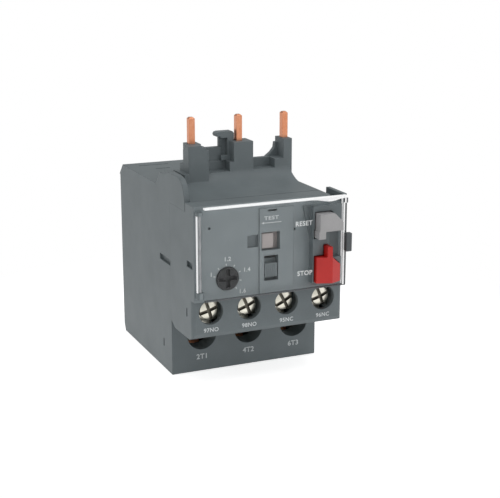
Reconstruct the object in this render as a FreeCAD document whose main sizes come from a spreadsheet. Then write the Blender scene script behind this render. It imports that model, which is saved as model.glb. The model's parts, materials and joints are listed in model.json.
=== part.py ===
"""Thermal overload relay, 45 mm wide, drawn as a parametric FreeCAD document.

Frame: X to the right, -Y to the front, +Z up.  The origin is the middle of the footprint, on the
bottom face.  Every length is in millimetres and every angle in degrees.
"""
import FreeCAD, Part
import math
import os
import Sketcher
from FreeCAD import Placement, Rotation, Vector

doc = FreeCAD.newDocument("OverloadRelay")

# ---------------------------------------------------------------- driving dimensions
DIMENSIONS = {
    # housing envelope, distances from the origin
    "case_width": 45.0,
    "back_reach": 34.0,
    "sill_reach": 10.75,
    "aux_reach": 27.15,
    "panel_reach": 28.85,
    "cover_reach": 30.95,
    "shoulder_height": 50.1,
    "deck_height": 52.5,
    "roof_height": 53.5,
    "roof_inset": 5.2,
    "aux_floor": 16.4,
    "aux_ceiling": 26.4,
    "aux_belly": 1.5,
    "wall": 1.6,
    "partition": 1.4,
    "foot_chamfer_depth": 1.8,
    "foot_chamfer_rise": 3.6,
    "seam": 0.35,
    "root": 0.4,
    "corner_round": 1.2,
    "back_round": 0.8,
    # grooves and latch slots in the outer walls
    "slot_sink": 0.8,
    "slot_height": 1.7,
    "latch_slot_height": 32.1,
    "latch_slot_start": 10.5,
    "latch_slot_length": 8.5,
    "front_slot_height": 35.3,
    "front_slot_start": 27.7,
    "front_slot_length": 4.2,
    "pry_slot_width": 0.7,
    "pry_slot_height": 2.3,
    "pry_slot_setback": 4.4,
    "pry_slot_bottom": 6.6,
    "aux_pry_setback": 23.4,
    "aux_pry_bottom": 21.1,
    "groove_width": 0.6,
    "groove_sink": 0.5,
    "long_groove_reach": 25.9,
    "long_groove_length": 9.4,
    "short_groove_reach": 19.7,
    "short_groove_length": 4.6,
    "groove_inset": 3.6,
    # raised saddle that carries the pin towers
    "cheek_thickness": 1.6,
    "cheek_ridge": 58.4,
    "cheek_rise": 3.2,
    "cheek_back": 4.2,
    "saddle_inset": 7.4,
    "saddle_front": 8.25,
    "saddle_back": 3.2,
    "saddle_ridge": 59.4,
    "saddle_skirt": 3.4,
    "ramp_top": 57.3,
    "ramp_foot": 22.45,
    "ledge_front": 10.6,
    "ledge_groove": 0.6,
    "ledge_strip": 1.5,
    "window_floor": 56.8,
    "window_depth": 3.4,
    "window_width": 6.6,
    "tower_height": 64.9,
    "tower_width": 5.9,
    "tower_depth": 5.6,
    "tower_front": 10.2,
    "tower_inset": 1.2,
    "slim_tower_width": 2.7,
    "tower_step": 1.4,
    "tower_notch": 1.1,
    "gusset_width": 3.4,
    "gusset_thickness": 1.6,
    "web_height": 63.2,
    "hook_height": 67.6,
    "hook_offset": 5.25,
    "hook_width": 3.9,
    "hook_nose": 1.5,
    "hook_tip": 0.5,
    "hook_thickness": 2.8,
    "hook_groove_width": 1.9,
    "hook_groove_length": 4.9,
    # poles
    "pole_margin": 0.9,
    "pole_offset": 1.0,
    "pole_ceiling": 48.5,
    "pin_reach": 5.25,
    "pin_margin": 1.28,
    "pin_offset": 0.25,
    "pin_width": 1.7,
    "pin_depth": 1.8,
    "pin_height": 72.3,
    "pin_chamfer": 0.4,
    "pin_arm_height": 40.0,
    "arm_width": 4.0,
    "arm_thickness": 1.6,
    "fit": 0.05,
    # power terminals
    "power_screw_height": 10.8,
    "power_hole_radius": 4.4,
    "tunnel_wall": 0.9,
    "tunnel_length": 4.4,
    "power_head_radius": 3.6,
    "power_head_length": 2.4,
    "power_head_recess": 6.5,
    "power_shank_radius": 1.95,
    "power_shank_length": 11.4,
    "power_saddle_width": 9.0,
    "power_saddle_thickness": 1.2,
    "power_wire_gap": 4.6,
    "power_plate_thickness": 1.8,
    "power_plate_width": 9.4,
    "power_entry_lead": 1.5,
    "slot_width": 0.9,
    "slot_depth": 1.0,
    "slot_reach": 0.8,
    "cradle_wall": 0.9,
    "cradle_drop": 3.4,
    "cradle_rise": 0.7,
    "cradle_mouth": 1.6,
    "lead_gap": 0.8,
    "lead_thickness": 0.8,
    # auxiliary terminals
    "aux_margin": 0.1,
    "aux_offset": 0.3,
    "aux_screw_height": 22.8,
    "aux_hole_radius": 3.5,
    "aux_head_radius": 2.55,
    "aux_head_length": 2.0,
    "aux_head_recess": 1.5,
    "aux_shank_radius": 1.7,
    "aux_shank_length": 7.4,
    "aux_saddle_width": 6.4,
    "aux_saddle_thickness": 1.0,
    "aux_wire_gap": 4.5,
    "aux_plate_thickness": 1.4,
    "aux_plate_gap": 2.0,
    "aux_foot_thickness": 1.0,
    "aux_entry_lead": 1.4,
    "aux_partition": 1.6,
    # heating strips and slide bars
    "strip_reach": 14.0,
    "strip_thickness": 0.9,
    "strip_width": 6.0,
    "strip_top": 46.6,
    "strip_pivot": 17.0,
    "strip_root_radius": 1.0,
    "heater_turns": 7,
    "heater_pitch": 2.6,
    "heater_ribbon": 1.4,
    "heater_gauge": 0.8,
    "heater_bottom": 20.0,
    "heater_gap": 1.75,
    "heater_bridge": 2.0,
    "bar_floor": 42.4,
    "bar_thickness": 1.2,
    "bar_depth": 10.0,
    "bar_inset_left": 2.1,
    "bar_inset_right": 4.0,
    "bar_arm": 2.4,
    "bar_slack": 0.3,
    # front controls
    "dial_inset": 9.5,
    "dial_height": 32.2,
    "dial_radius": 3.2,
    "dial_proud": 0.5,
    "dial_collar": 0.8,
    "dial_collar_thickness": 1.0,
    "dial_slot_depth": 1.2,
    "dial_shaft_radius": 1.4,
    "cam_radius": 2.4,
    "cam_lift": 1.8,
    "cam_thickness": 2.4,
    "cam_standoff": 1.2,
    "reset_inset": 10.4,
    "reset_width": 7.1,
    "reset_bottom": 43.3,
    "reset_top": 48.2,
    "reset_cut": 2.6,
    "reset_foot_drop": 2.0,
    "reset_foot_width": 1.8,
    "reset_foot_step": 0.3,
    "button_reach": 33.65,
    "button_slack": 0.3,
    "button_flange": 0.9,
    "flange_thickness": 1.0,
    "flange_trim": 0.6,
    "stop_inset": 10.6,
    "stop_width": 7.2,
    "stop_bottom": 28.7,
    "stop_top": 36.0,
    "stop_cut": 2.5,
    "stop_ridge_inset": 6.5,
    "stop_slope": 1.9,
    "stop_stem": 39.0,
    "stop_stem_width": 1.3,
    "stem_radius": 1.3,
    "stem_proud": 0.6,
    "hood_proud": 2.2,
    "hood_recess": 1.8,
    "relief": 0.5,
    "spring_gauge": 0.4,
    "spring_radius": 2.1,
    "column_left": 3.8,
    "column_right": 6.3,
    "column_proud": 0.3,
    "channel_width": 2.2,
    "gauge_dot": 0.35,
    "gauge_dot_depth": 0.6,
    "sight_left": 7.2,
    "sight_width": 3.2,
    "sight_bottom": 40.0,
    "sight_top": 43.3,
    "tool_slot_width": 2.5,
    "tool_slot_height": 0.5,
    "tool_slot_level": 50.0,
    "frame_reach": 16.6,
    "frame_thickness": 1.6,
    "peg_proud": 0.8,
    "follower_height": 2.8,
    "follower_length": 6.0,
    "follower_depth": 3.2,
    "follower_point": 0.6,
    "rail_depth": 2.4,
    "rail_thickness": 1.2,
    "rail_setback": 0.8,
    "rail_length": 5.2,
    "leg_width": 2.4,
    "leg_height": 1.6,
    "leg_slack": 0.3,
    "test_leg_offset": 0.6,
    "test_leg_rise": 2.0,
    "mode_leg_offset": 0.4,
    "test_left": 3.2,
    "test_right": 2.2,
    "test_bottom": 38.8,
    "test_top": 43.8,
    "test_travel": 1.4,
    "test_width": 3.4,
    "test_sink": 0.4,
    "mode_left": 2.4,
    "mode_right": 1.7,
    "mode_bottom": 30.3,
    "mode_top": 37.3,
    "mode_travel": 1.5,
    "mode_width": 3.5,
    "mode_height": 3.8,
    "mode_proud": 0.3,
    "rib_pitch": 0.6,
    "rib_groove": 0.25,
    "rib_edge": 0.35,
    "slide_flange": 1.2,
    "test_flange_rise": 3.2,
    # transparent cover
    "cover_thickness": 1.2,
    "cover_bottom": 26.9,
    "cover_top": 52.3,
    "cover_inset": 1.0,
    "cover_window_inset": 11.6,
    "cover_window_width": 9.3,
    "cover_window_bottom": 28.2,
    "cover_window_top": 50.4,
    "bulge_peak": 34.0,
    "bulge_inset": 7.8,
    "hinge_inset": 1.2,
    "hinge_radius": 0.95,
    "hinge_pin_radius": 0.45,
    "hinge_bottom": 29.6,
    "hinge_top": 50.3,
    "hinge_gap": 0.25,
    "ear_height": 1.8,
    "top_ear_height": 0.9,
    "grip_bottom": 36.8,
    "grip_top": 42.0,
    "grip_overlap": 0.8,
    "grip_proud": 1.6,
    "fin_width": 1.2,
    "fin_length": 10.0,
    "fin_drop": 0.2,
    # trip mechanism
    "trip_lever_x": 6.0,
    "trip_lever_height": 38.0,
    "trip_arm_clearance": 1.2,
    "trip_arm_rise": 6.3,
    "trip_tail_gap": 5.0,
    "trip_tail_drop": 1.0,
    "rocker_inset": 15.5,
    "rocker_height": 40.0,
    "rocker_run": 3.0,
    "rocker_drop": 7.5,
    "rocker_rise": 6.0,
    "pivot_radius": 1.2,
    "hub_wall": 1.2,
    "arm_root": 1.3,
    "arm_tip": 0.8,
    "lever_thickness": 1.4,
    "blade_width": 1.0,
    "blade_height": 3.4,
    "blade_depth": 2.0,
    "blade_foot": 2.6,
    "blade_foot_height": 1.2,
    "blade_foot_depth": 0.6,
    "nc_run": 4.6,
    "nc_rise": 4.0,
    "no_run": 7.4,
    "no_drop": 9.4,
}

POLES = (1, 2, 3)
AUX = (1, 2, 3, 4)


class Size:
    """A length known both as a number and as the expression that a property is bound to."""

    def __init__(self, text, number):
        self.text = text
        self.number = number

    def _join(self, sign, other, number):
        other = size(other)
        return Size("(%s %s %s)" % (self.text, sign, other.text), number(self.number, other.number))

    def __add__(self, other):
        return self._join("+", other, lambda a, b: a + b)

    def __sub__(self, other):
        return self._join("-", other, lambda a, b: a - b)

    def __mul__(self, other):
        return self._join("*", other, lambda a, b: a * b)

    def __truediv__(self, other):
        return self._join("/", other, lambda a, b: a / b)

    def __radd__(self, other):
        return size(other) + self

    def __rsub__(self, other):
        return size(other) - self

    def __rmul__(self, other):
        return size(other) * self

    def __neg__(self):
        return Size("(-%s)" % self.text, -self.number)


def size(value):
    """Any number or Size as a Size."""
    if isinstance(value, Size):
        return value
    return Size("(%.6f)" % value if value < 0 else "%.6f" % value, float(value))


def make_sheet(dimensions):
    """The spreadsheet of plain numbers, and a Size for each of its aliases."""
    table = doc.addObject("Spreadsheet::Sheet", "dims")
    sizes = {}
    for row, (name, value) in enumerate(dimensions.items(), start=1):
        table.set("A%d" % row, name)
        table.set("B%d" % row, str(value))
        table.setAlias("B%d" % row, name)
        sizes[name] = Size("dims.%s" % name, float(value))
    doc.recompute()
    return sizes


D = make_sheet(DIMENSIONS)
half_width = D["case_width"] / 2
inner_half = half_width - D["wall"]
pole_pitch = (D["case_width"] - 2 * D["pole_margin"]) / 3
pin_pitch = (D["case_width"] - 2 * D["pin_margin"]) / 3
aux_pitch = (D["case_width"] - 2 * D["aux_margin"]) / 4


def from_left(name):
    """The x position that lies this named distance inside the left wall."""
    return D[name] - half_width


def from_right(name):
    """The x position that lies this named distance inside the right wall."""
    return half_width - D[name]


# ---------------------------------------------------------------- construction helpers
def bind(thing, prop, value):
    """Bind one property to a size."""
    thing.setExpression(prop, size(value).text)


def bind_place(thing, corner):
    """Bind the three coordinates of an object's base point."""
    for axis, value in zip("xyz", corner):
        bind(thing, "Placement.Base." + axis, value)


def block(name, low, high):
    """A box from its lowest to its highest corner."""
    box = doc.addObject("Part::Box", name)
    for prop, a, b in zip(("Length", "Width", "Height"), low, high):
        bind(box, prop, size(b) - size(a))
    bind_place(box, low)
    return box


TURNS = {"X": Rotation(Vector(0, 1, 0), 90), "Y": Rotation(Vector(1, 0, 0), -90), "Z": Rotation()}


def rod(name, start, axis, radius, length):
    """A cylinder from its start point along +X, +Y or +Z."""
    bar = doc.addObject("Part::Cylinder", name)
    bar.Placement = Placement(Vector(), TURNS[axis])
    bind(bar, "Radius", radius)
    bind(bar, "Height", length)
    bind_place(bar, start)
    return bar


def fused(name, pieces):
    joined = doc.addObject("Part::MultiFuse", name)
    joined.Shapes = pieces
    return joined


def carved(name, base, tools):
    """The base less every tool."""
    tool = tools[0] if len(tools) == 1 else fused(name + "_tools", tools)
    cut = doc.addObject("Part::Cut", name)
    cut.Base = base
    cut.Tool = tool
    return cut


SIDES = {"XY": "XY_Plane", "XZ": "XZ_Plane", "YZ": "YZ_Plane"}


class Solid:
    """A PartDesign body that is built by pads and pockets along one axis at a time."""

    def __init__(self, name):
        self.name = name
        self.body = doc.addObject("PartDesign::Body", name)
        self.count = 0

    def sketch(self, plane, start, loops):
        """Closed outlines on a plane parallel to one of the body's own origin planes."""
        self.count += 1
        drawing = self.body.newObject("Sketcher::SketchObject", "%s_sketch_%d" % (self.name, self.count))
        role = SIDES[plane]
        origin = [item for item in self.body.Origin.OriginFeatures if item.Role == role][0]
        drawing.AttachmentSupport = [(origin, "")]
        drawing.MapMode = "FlatFace"
        offset = -size(start) if plane == "XZ" else size(start)
        bind(drawing, "AttachmentOffset.Base.z", offset)
        for loop in loops:
            draw_loop(drawing, loop)
        return drawing

    def extrude(self, kind, plane, start, end, loops):
        drawing = self.sketch(plane, start, loops)
        label = "%s_%s_%d" % (self.name, kind.lower(), self.count)
        feature = self.body.newObject("PartDesign::" + kind, label)
        feature.Profile = drawing
        bind(feature, "Length", size(end) - size(start))
        along_normal = plane != "XZ"
        feature.Reversed = (not along_normal) if kind == "Pad" else along_normal
        drawing.Visibility = False
        return feature

    def pad(self, plane, start, end, *loops):
        """Add the outlines from start to end along the third axis."""
        return self.extrude("Pad", plane, start, end, loops)

    def pocket(self, plane, start, end, *loops):
        """Cut the outlines from start to end along the third axis."""
        return self.extrude("Pocket", plane, start, end, loops)

    def dress(self, kind, prop, amount, chosen):
        """Fillet or chamfer the edges that the test picks from the shape so far."""
        doc.recompute()
        base = self.body.Tip
        names = ["Edge%d" % (i + 1) for i, edge in enumerate(base.Shape.Edges) if chosen(edge)]
        if not names:
            raise RuntimeError("%s: no edge to %s" % (self.name, kind.lower()))
        self.count += 1
        label = "%s_%s_%d" % (self.name, kind.lower(), self.count)
        feature = self.body.newObject("PartDesign::" + kind, label)
        feature.Base = (base, names)
        bind(feature, prop, amount)
        return feature

    def fillet(self, radius, chosen):
        return self.dress("Fillet", "Radius", radius, chosen)

    def chamfer(self, amount, chosen):
        return self.dress("Chamfer", "Size", amount, chosen)


class Circle:
    def __init__(self, across, up, radius):
        self.across = size(across)
        self.up = size(up)
        self.radius = size(radius)


def draw_loop(drawing, loop):
    """A polygon of (across, up) sizes, or a circle given as (centre, radius)."""
    if isinstance(loop, Circle):
        centre = Vector(loop.across.number, loop.up.number, 0)
        edge = drawing.addGeometry(Part.Circle(centre, Vector(0, 0, 1), loop.radius.number))
        hold(drawing, "DistanceX", edge, 3, loop.across)
        hold(drawing, "DistanceY", edge, 3, loop.up)
        row = drawing.addConstraint(Sketcher.Constraint("Radius", edge, loop.radius.number))
        bind(drawing, "Constraints[%d]" % row, loop.radius)
        return
    points = [(size(a), size(b)) for a, b in loop]
    edges = []
    for here, there in zip(points, points[1:] + points[:1]):
        ends = [Vector(p[0].number, p[1].number, 0) for p in (here, there)]
        edges.append(drawing.addGeometry(Part.LineSegment(*ends)))
    for edge, following in zip(edges, edges[1:] + edges[:1]):
        drawing.addConstraint(Sketcher.Constraint("Coincident", edge, 2, following, 1))
    for edge, point in zip(edges, points):
        hold(drawing, "DistanceX", edge, 1, point[0])
        hold(drawing, "DistanceY", edge, 1, point[1])


def hold(drawing, kind, edge, end, value):
    """Tie one coordinate of a point to a size."""
    row = drawing.addConstraint(Sketcher.Constraint(kind, -1, 1, edge, end, value.number))
    bind(drawing, "Constraints[%d]" % row, value)


def rectangle(left, right, bottom, top):
    return [(left, bottom), (right, bottom), (right, top), (left, top)]


def parallel(edge, axis):
    """Whether an edge is a straight one along an axis."""
    if not isinstance(edge.Curve, Part.Line):
        return False
    return abs(abs(edge.Curve.Direction.dot(axis)) - 1.0) < 1e-6


def near(value, wanted):
    return abs(value - size(wanted).number) < 1e-4


X_AXIS = Vector(1, 0, 0)
Y_AXIS = Vector(0, 1, 0)
Z_AXIS = Vector(0, 0, 1)


def pole_x(k):
    return D["pole_offset"] + pole_pitch * (k - 2)


def pin_x(k):
    return D["pin_offset"] + pin_pitch * (k - 2)


def aux_x(k):
    return aux_pitch * (k - 2.5) - D["aux_offset"]


front = -D["sill_reach"]
back = D["back_reach"]
pin_y = -D["pin_reach"]


# ---------------------------------------------------------------- rear housing
roof_right = from_right("roof_inset")
saddle_right = from_right("saddle_inset")
cheek_right = from_left("cheek_thickness")
ramp_foot = -D["ramp_foot"]
saddle_front = -D["saddle_front"]
saddle_back = -D["saddle_back"]
tower_left = pin_x(1) - D["tower_width"] / 2 + 0.35
RAMP_STEPS = 10


def rear_case():
    """Box with three pole chambers, a hollow-curved saddle, pin towers and the mounting hook."""
    case = Solid("rear_case")
    shoulder = D["shoulder_height"]
    roof = D["roof_height"]
    deck = D["deck_height"]
    case.pad("YZ", -half_width, half_width, [
        (front, 0), (back - D["foot_chamfer_depth"], 0), (back, D["foot_chamfer_rise"]),
        (back, shoulder), (front, shoulder)])
    case.fillet(D["back_round"], lambda edge: parallel(edge, Z_AXIS) and near(edge.CenterOfMass.y, back))
    case.pad("YZ", -half_width, roof_right, [
        (front, shoulder), (back, shoulder), (back - (roof - shoulder), roof),
        (saddle_back, roof), (saddle_back - 1, deck), (ramp_foot, deck), (ramp_foot, shoulder)])
    saddle(case)
    cheek(case)
    towers(case)
    windows(case)
    chambers(case)
    outer_slots(case)
    return case


def ramp_curve():
    """The hollow ramp as a quarter ellipse from its foot up to the towers' front."""
    run = saddle_front - ramp_foot
    rise = D["ramp_top"] - D["deck_height"]
    curve = []
    for step in range(RAMP_STEPS + 1):
        turn = math.radians(90 * step / RAMP_STEPS)
        curve.append((ramp_foot + run * math.sin(turn), D["ramp_top"] - rise * math.cos(turn)))
    return curve


def saddle(case):
    """The hollow ramp from wall to wall, with the ridge between the first and the last tower."""
    low = D["deck_height"] - D["root"]
    skirt = saddle_back + D["saddle_skirt"]
    case.pad("YZ", -half_width, saddle_right, [(ramp_foot, low)] + ramp_curve() + [
        (saddle_back, D["ramp_top"]), (skirt, D["roof_height"]), (skirt, low)])
    case.pad("YZ", tower_left, saddle_right, [
        (saddle_front, D["ramp_top"] - D["root"]), (saddle_front, D["saddle_ridge"]),
        (saddle_back, D["saddle_ridge"]), (saddle_back, D["ramp_top"] - D["root"])])


def cheek(case):
    """The left wall's raised edge, and the grooved ledge between it and the first tower."""
    ridge = D["cheek_ridge"]
    low = D["deck_height"] - D["root"]
    rise = D["cheek_rise"]
    back_foot = saddle_back + D["saddle_skirt"]
    case.pad("YZ", -half_width, cheek_right, [
        (ramp_foot, low), (ramp_foot, D["deck_height"]), (ramp_foot + rise * 0.25, ridge - rise * 1.15),
        (ramp_foot + rise * 0.55, ridge - rise * 0.5), (ramp_foot + rise, ridge - rise * 0.15),
        (ramp_foot + rise * 1.6, ridge), (ramp_foot + rise * 3.8, ridge),
        (back_foot - D["cheek_back"] * 0.9, ridge - rise * 0.55), (back_foot, D["roof_height"]),
        (back_foot, low)])
    strip_left = tower_left - D["ledge_strip"]
    case.pad("XY", low, D["ramp_top"], rectangle(
        cheek_right, tower_left, -D["ledge_front"], back_foot - D["cheek_back"] * 0.5))
    case.pocket("XY", D["ramp_top"] - D["slot_sink"], D["ramp_top"], rectangle(
        strip_left - D["ledge_groove"], strip_left, -D["ledge_front"], back_foot - D["cheek_back"] * 0.5))


def towers(case):
    """A square post round each pin, a stepped front on the first, and the hook beside the second."""
    foot = D["deck_height"] - D["root"]
    top = D["tower_height"]
    step = D["tower_step"]
    notch = D["tower_notch"]
    low = pin_y - D["tower_depth"] / 2 - 0.2
    high = low + D["tower_depth"]
    left = tower_left
    width = D["tower_width"]
    right = left + width
    waist = low + step * 1.8
    case.pad("XY", foot, top - step, rectangle(left, right, -D["tower_front"], waist))
    case.pad("XY", foot, top - step * 0.4, rectangle(
        left, right - notch * 0.6, -D["tower_front"], waist - step))
    case.pad("XY", foot, top, rectangle(left, right - notch * 1.8, -D["tower_front"], waist - step))
    case.pad("XY", foot, top, rectangle(left + D["tower_inset"], right - notch, waist - step, high))
    middle = pin_x(2) + D["pin_chamfer"]
    case.pad("XY", foot, top, rectangle(middle - width / 2, middle + width / 2, low, high))
    last = pin_x(3) + D["pin_width"] / 2 + D["pin_chamfer"]
    gusset = last - D["slim_tower_width"]
    case.pad("XY", foot, top, rectangle(gusset, last, low, high))
    ridge = D["saddle_ridge"]
    reach = D["gusset_width"]
    case.pad("XZ", high - D["gusset_thickness"], high, [
        (gusset - reach, ridge - 1), (gusset + D["root"], ridge - 1), (gusset + D["root"], top - step),
        (gusset - reach * 0.2, top - step * 1.1), (gusset - reach * 0.25, top - step * 2.2),
        (gusset - reach * 0.55, top - step * 3.1), (gusset - reach, ridge)])
    hook(case, high, right - notch)


def hook(case, high, web_left):
    """The nosed plate beside the second tower, on a low web from the first."""
    ridge = D["saddle_ridge"]
    left = pin_x(2) - D["hook_offset"]
    right = left + D["hook_width"]
    top = D["hook_height"]
    tip = D["hook_tip"]
    nose = left - D["hook_nose"]
    low = high - D["hook_thickness"]
    case.pad("XZ", low, high, [
        (left, ridge - 1), (right, ridge - 1), (right, top - tip), (right - tip, top), (nose + 2 * tip, top),
        (nose + 0.6 * tip, top - 0.4 * tip), (nose, top - 1.4 * tip), (nose + 0.4 * tip, top - 2.6 * tip),
        (left - 0.5 * tip, top - 2.8 * tip), (left, top - 3.6 * tip)])
    groove = ridge + D["hook_nose"]
    case.pocket("XZ", low, low + 2 * D["slot_sink"], rectangle(
        left, left + D["hook_groove_width"], groove, groove + D["hook_groove_length"]))
    case.pad("XZ", high - D["gusset_thickness"], high, rectangle(
        web_left - D["root"], left + D["root"], ridge - 1, D["web_height"]))


def windows(case):
    """Two dark notches between the towers, and a bore for each pin."""
    floor = D["window_floor"]
    first = tower_left + D["tower_width"] + D["root"]
    second = pin_x(2) + D["pin_chamfer"] + D["tower_width"] / 2 + D["fit"]
    for left in (first, second):
        case.pocket("XZ", saddle_front - D["tower_notch"], saddle_front + D["window_depth"], rectangle(
            left, left + D["window_width"], floor, D["saddle_ridge"] + D["fit"]))
    slack = D["fit"]
    for k in POLES:
        case.pocket("XY", D["pole_ceiling"] - 1, D["tower_height"] + 1, rectangle(
            pin_x(k) - D["pin_width"] / 2 - slack, pin_x(k) + D["pin_width"] / 2 + slack,
            pin_y - D["pin_depth"] / 2 - slack, pin_y + D["pin_depth"] / 2 + slack))


def outer_slots(case):
    """Shallow latch and pry slots in the left wall, and two grooves in the roof."""
    side = -half_width
    sink = D["slot_sink"]
    z = D["latch_slot_height"]
    y = -D["latch_slot_start"]
    case.pocket("YZ", side, side + sink, rectangle(y, y + D["latch_slot_length"], z, z + D["slot_height"]))
    z = D["pry_slot_bottom"]
    y = -D["pry_slot_setback"]
    case.pocket("YZ", side, side + sink, rectangle(y, y + D["pry_slot_width"], z, z + D["pry_slot_height"]))
    x = from_left("groove_inset")
    roof = D["roof_height"]
    for across, reach, length in (
            (x, D["long_groove_reach"], D["long_groove_length"]),
            (x + D["groove_inset"] * 0.9, D["short_groove_reach"], D["short_groove_length"])):
        case.pocket("XY", roof - D["groove_sink"], roof, rectangle(
            across, across + length, reach, reach + D["groove_width"]))


def chamber_span(k):
    """The left and right inner faces of one pole's chamber."""
    rib = D["partition"] / 2
    left = -inner_half if k == 1 else pole_x(k) - pole_pitch / 2 + rib
    right = inner_half if k == 3 else pole_x(k) + pole_pitch / 2 - rib
    return left, right


power_head_front = front + D["power_head_recess"]
power_saddle_back = power_head_front + D["power_head_length"] + D["power_saddle_thickness"]
power_plate_front = power_saddle_back + D["power_wire_gap"]


def chambers(case):
    """Three open chambers, screw tunnels in the sill, wire entries in the floor, and the bar passage."""
    wall = D["wall"]
    inside = front + wall
    half = D["power_saddle_width"] / 2
    for k in POLES:
        left, right = chamber_span(k)
        case.pocket("XY", wall, D["pole_ceiling"], rectangle(left, right, inside, back - wall))
    case.pocket("XZ", front, inside, rectangle(-inner_half, inner_half, D["aux_floor"], D["pole_ceiling"]))
    for k in POLES:
        centre = pole_x(k), D["power_screw_height"]
        case.pad("XZ", inside - D["root"], inside + D["tunnel_length"],
                 Circle(*centre, D["power_hole_radius"] + D["tunnel_wall"]))
        case.pocket("XZ", front, inside + D["tunnel_length"], Circle(*centre, D["power_hole_radius"]))
        case.pocket("XY", 0, wall, rectangle(
            pole_x(k) - half, pole_x(k) + half, power_saddle_back - D["power_entry_lead"],
            power_plate_front + D["power_entry_lead"]))
    strip = D["strip_reach"]
    half = D["bar_depth"] / 2 + D["fit"]
    case.pocket("YZ", -inner_half, inner_half, rectangle(
        strip - half, strip + half, D["bar_floor"],
        D["bar_floor"] + 2 * D["bar_thickness"] + 3 * D["fit"]))


# ---------------------------------------------------------------- front housing
panel = -D["panel_reach"]
aux_face = -D["aux_reach"]
hinge_x = from_left("hinge_inset")
hinge_y = -D["cover_reach"] + D["hinge_radius"]
dial_x = from_left("dial_inset")
reset_left = from_right("reset_inset")
reset_right = reset_left + D["reset_width"]
stop_left = from_right("stop_inset")
stop_right = stop_left + D["stop_width"]
stop_ridge = from_right("stop_ridge_inset")
cover_right = from_right("cover_inset")
window_left = from_right("cover_window_inset")
window_right = window_left + D["cover_window_width"]
aux_head_front = aux_face + D["aux_head_recess"]
aux_saddle_back = aux_head_front + D["aux_head_length"] + D["aux_saddle_thickness"]
aux_plate_front = aux_saddle_back + D["aux_wire_gap"]


def front_case():
    """Auxiliary terminal block below, control panel above, with a bay for the two buttons."""
    case = Solid("front_case")
    floor = D["aux_floor"]
    belly = floor - D["aux_belly"]
    rounding = D["corner_round"]
    case.pad("YZ", -half_width, half_width, [
        (front, floor), (front - 2.3 * rounding, belly), (aux_face + 2 * rounding, belly + 0.1 * rounding),
        (aux_face + 0.6 * rounding, belly + 0.6 * rounding), (aux_face, floor + 0.4 * rounding),
        (aux_face, D["aux_ceiling"]), (panel, D["aux_ceiling"]), (panel, D["shoulder_height"]),
        (front, D["shoulder_height"])])
    case.fillet(rounding, lambda edge: parallel(edge, Z_AXIS) and near(edge.CenterOfMass.y, aux_face))
    deck = D["deck_height"]
    case.pad("XY", D["shoulder_height"], deck, rectangle(
        -half_width, roof_right, panel, ramp_foot - D["seam"]))
    case.pad("XY", D["shoulder_height"], deck - D["fin_drop"], rectangle(
        half_width - D["fin_width"], half_width, panel, panel + D["fin_length"]))
    panel_relief(case)
    front_cavity(case)
    control_openings(case)
    front_slots(case)
    hinge_ears(case)
    return case


def panel_relief(case):
    """Raised middle column, hood over the reset button and the raised surround of the bay."""
    left = window_left + D["button_slack"]
    right = window_right - D["button_slack"]
    bottom = D["cover_window_bottom"] + D["button_slack"]
    top = D["cover_window_top"] - D["button_slack"]
    case.pad("XZ", panel - D["column_proud"], panel, rectangle(
        -D["column_left"], D["column_right"], D["aux_ceiling"] + D["root"], D["cover_window_top"]))
    case.pad("XZ", panel - D["hood_proud"], panel, rectangle(left, right, bottom, top))
    sill = D["reset_bottom"] - D["reset_foot_drop"] - D["flange_trim"]
    case.pad("XZ", panel - D["relief"], panel, [
        (left - D["channel_width"], top), (left, sill), (left + 1, sill), (left + 1, top)])
    case.pocket("XZ", panel - D["hood_proud"], panel - D["hood_proud"] + D["hood_recess"], rectangle(
        stop_ridge - D["stop_stem_width"] + 1.5, right, D["stop_top"] - D["flange_trim"],
        D["reset_bottom"] - D["flange_trim"]))


def front_cavity(case):
    """The mechanism room, open at the back, and four terminal rooms below it."""
    wall = D["wall"]
    ceiling = D["aux_ceiling"]
    case.pocket("XZ", panel + wall, front, rectangle(
        -inner_half, inner_half, ceiling + wall, D["pole_ceiling"]))
    rib = D["aux_partition"] / 2
    half = D["aux_saddle_width"] / 2
    for k in AUX:
        left = -inner_half if k == 1 else aux_x(k) - aux_pitch / 2 + rib
        right = inner_half if k == 4 else aux_x(k) + aux_pitch / 2 - rib
        case.pocket("XY", D["aux_floor"], ceiling, rectangle(left, right, aux_face + wall, front - wall))
        case.pocket("XZ", aux_face, aux_face + wall, Circle(
            aux_x(k), D["aux_screw_height"], D["aux_hole_radius"]))
        case.pocket("XY", D["aux_floor"] - D["aux_belly"] - 1, D["aux_floor"], rectangle(
            aux_x(k) - half, aux_x(k) + half, aux_saddle_back - D["aux_entry_lead"],
            aux_plate_front + D["fit"]))


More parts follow.
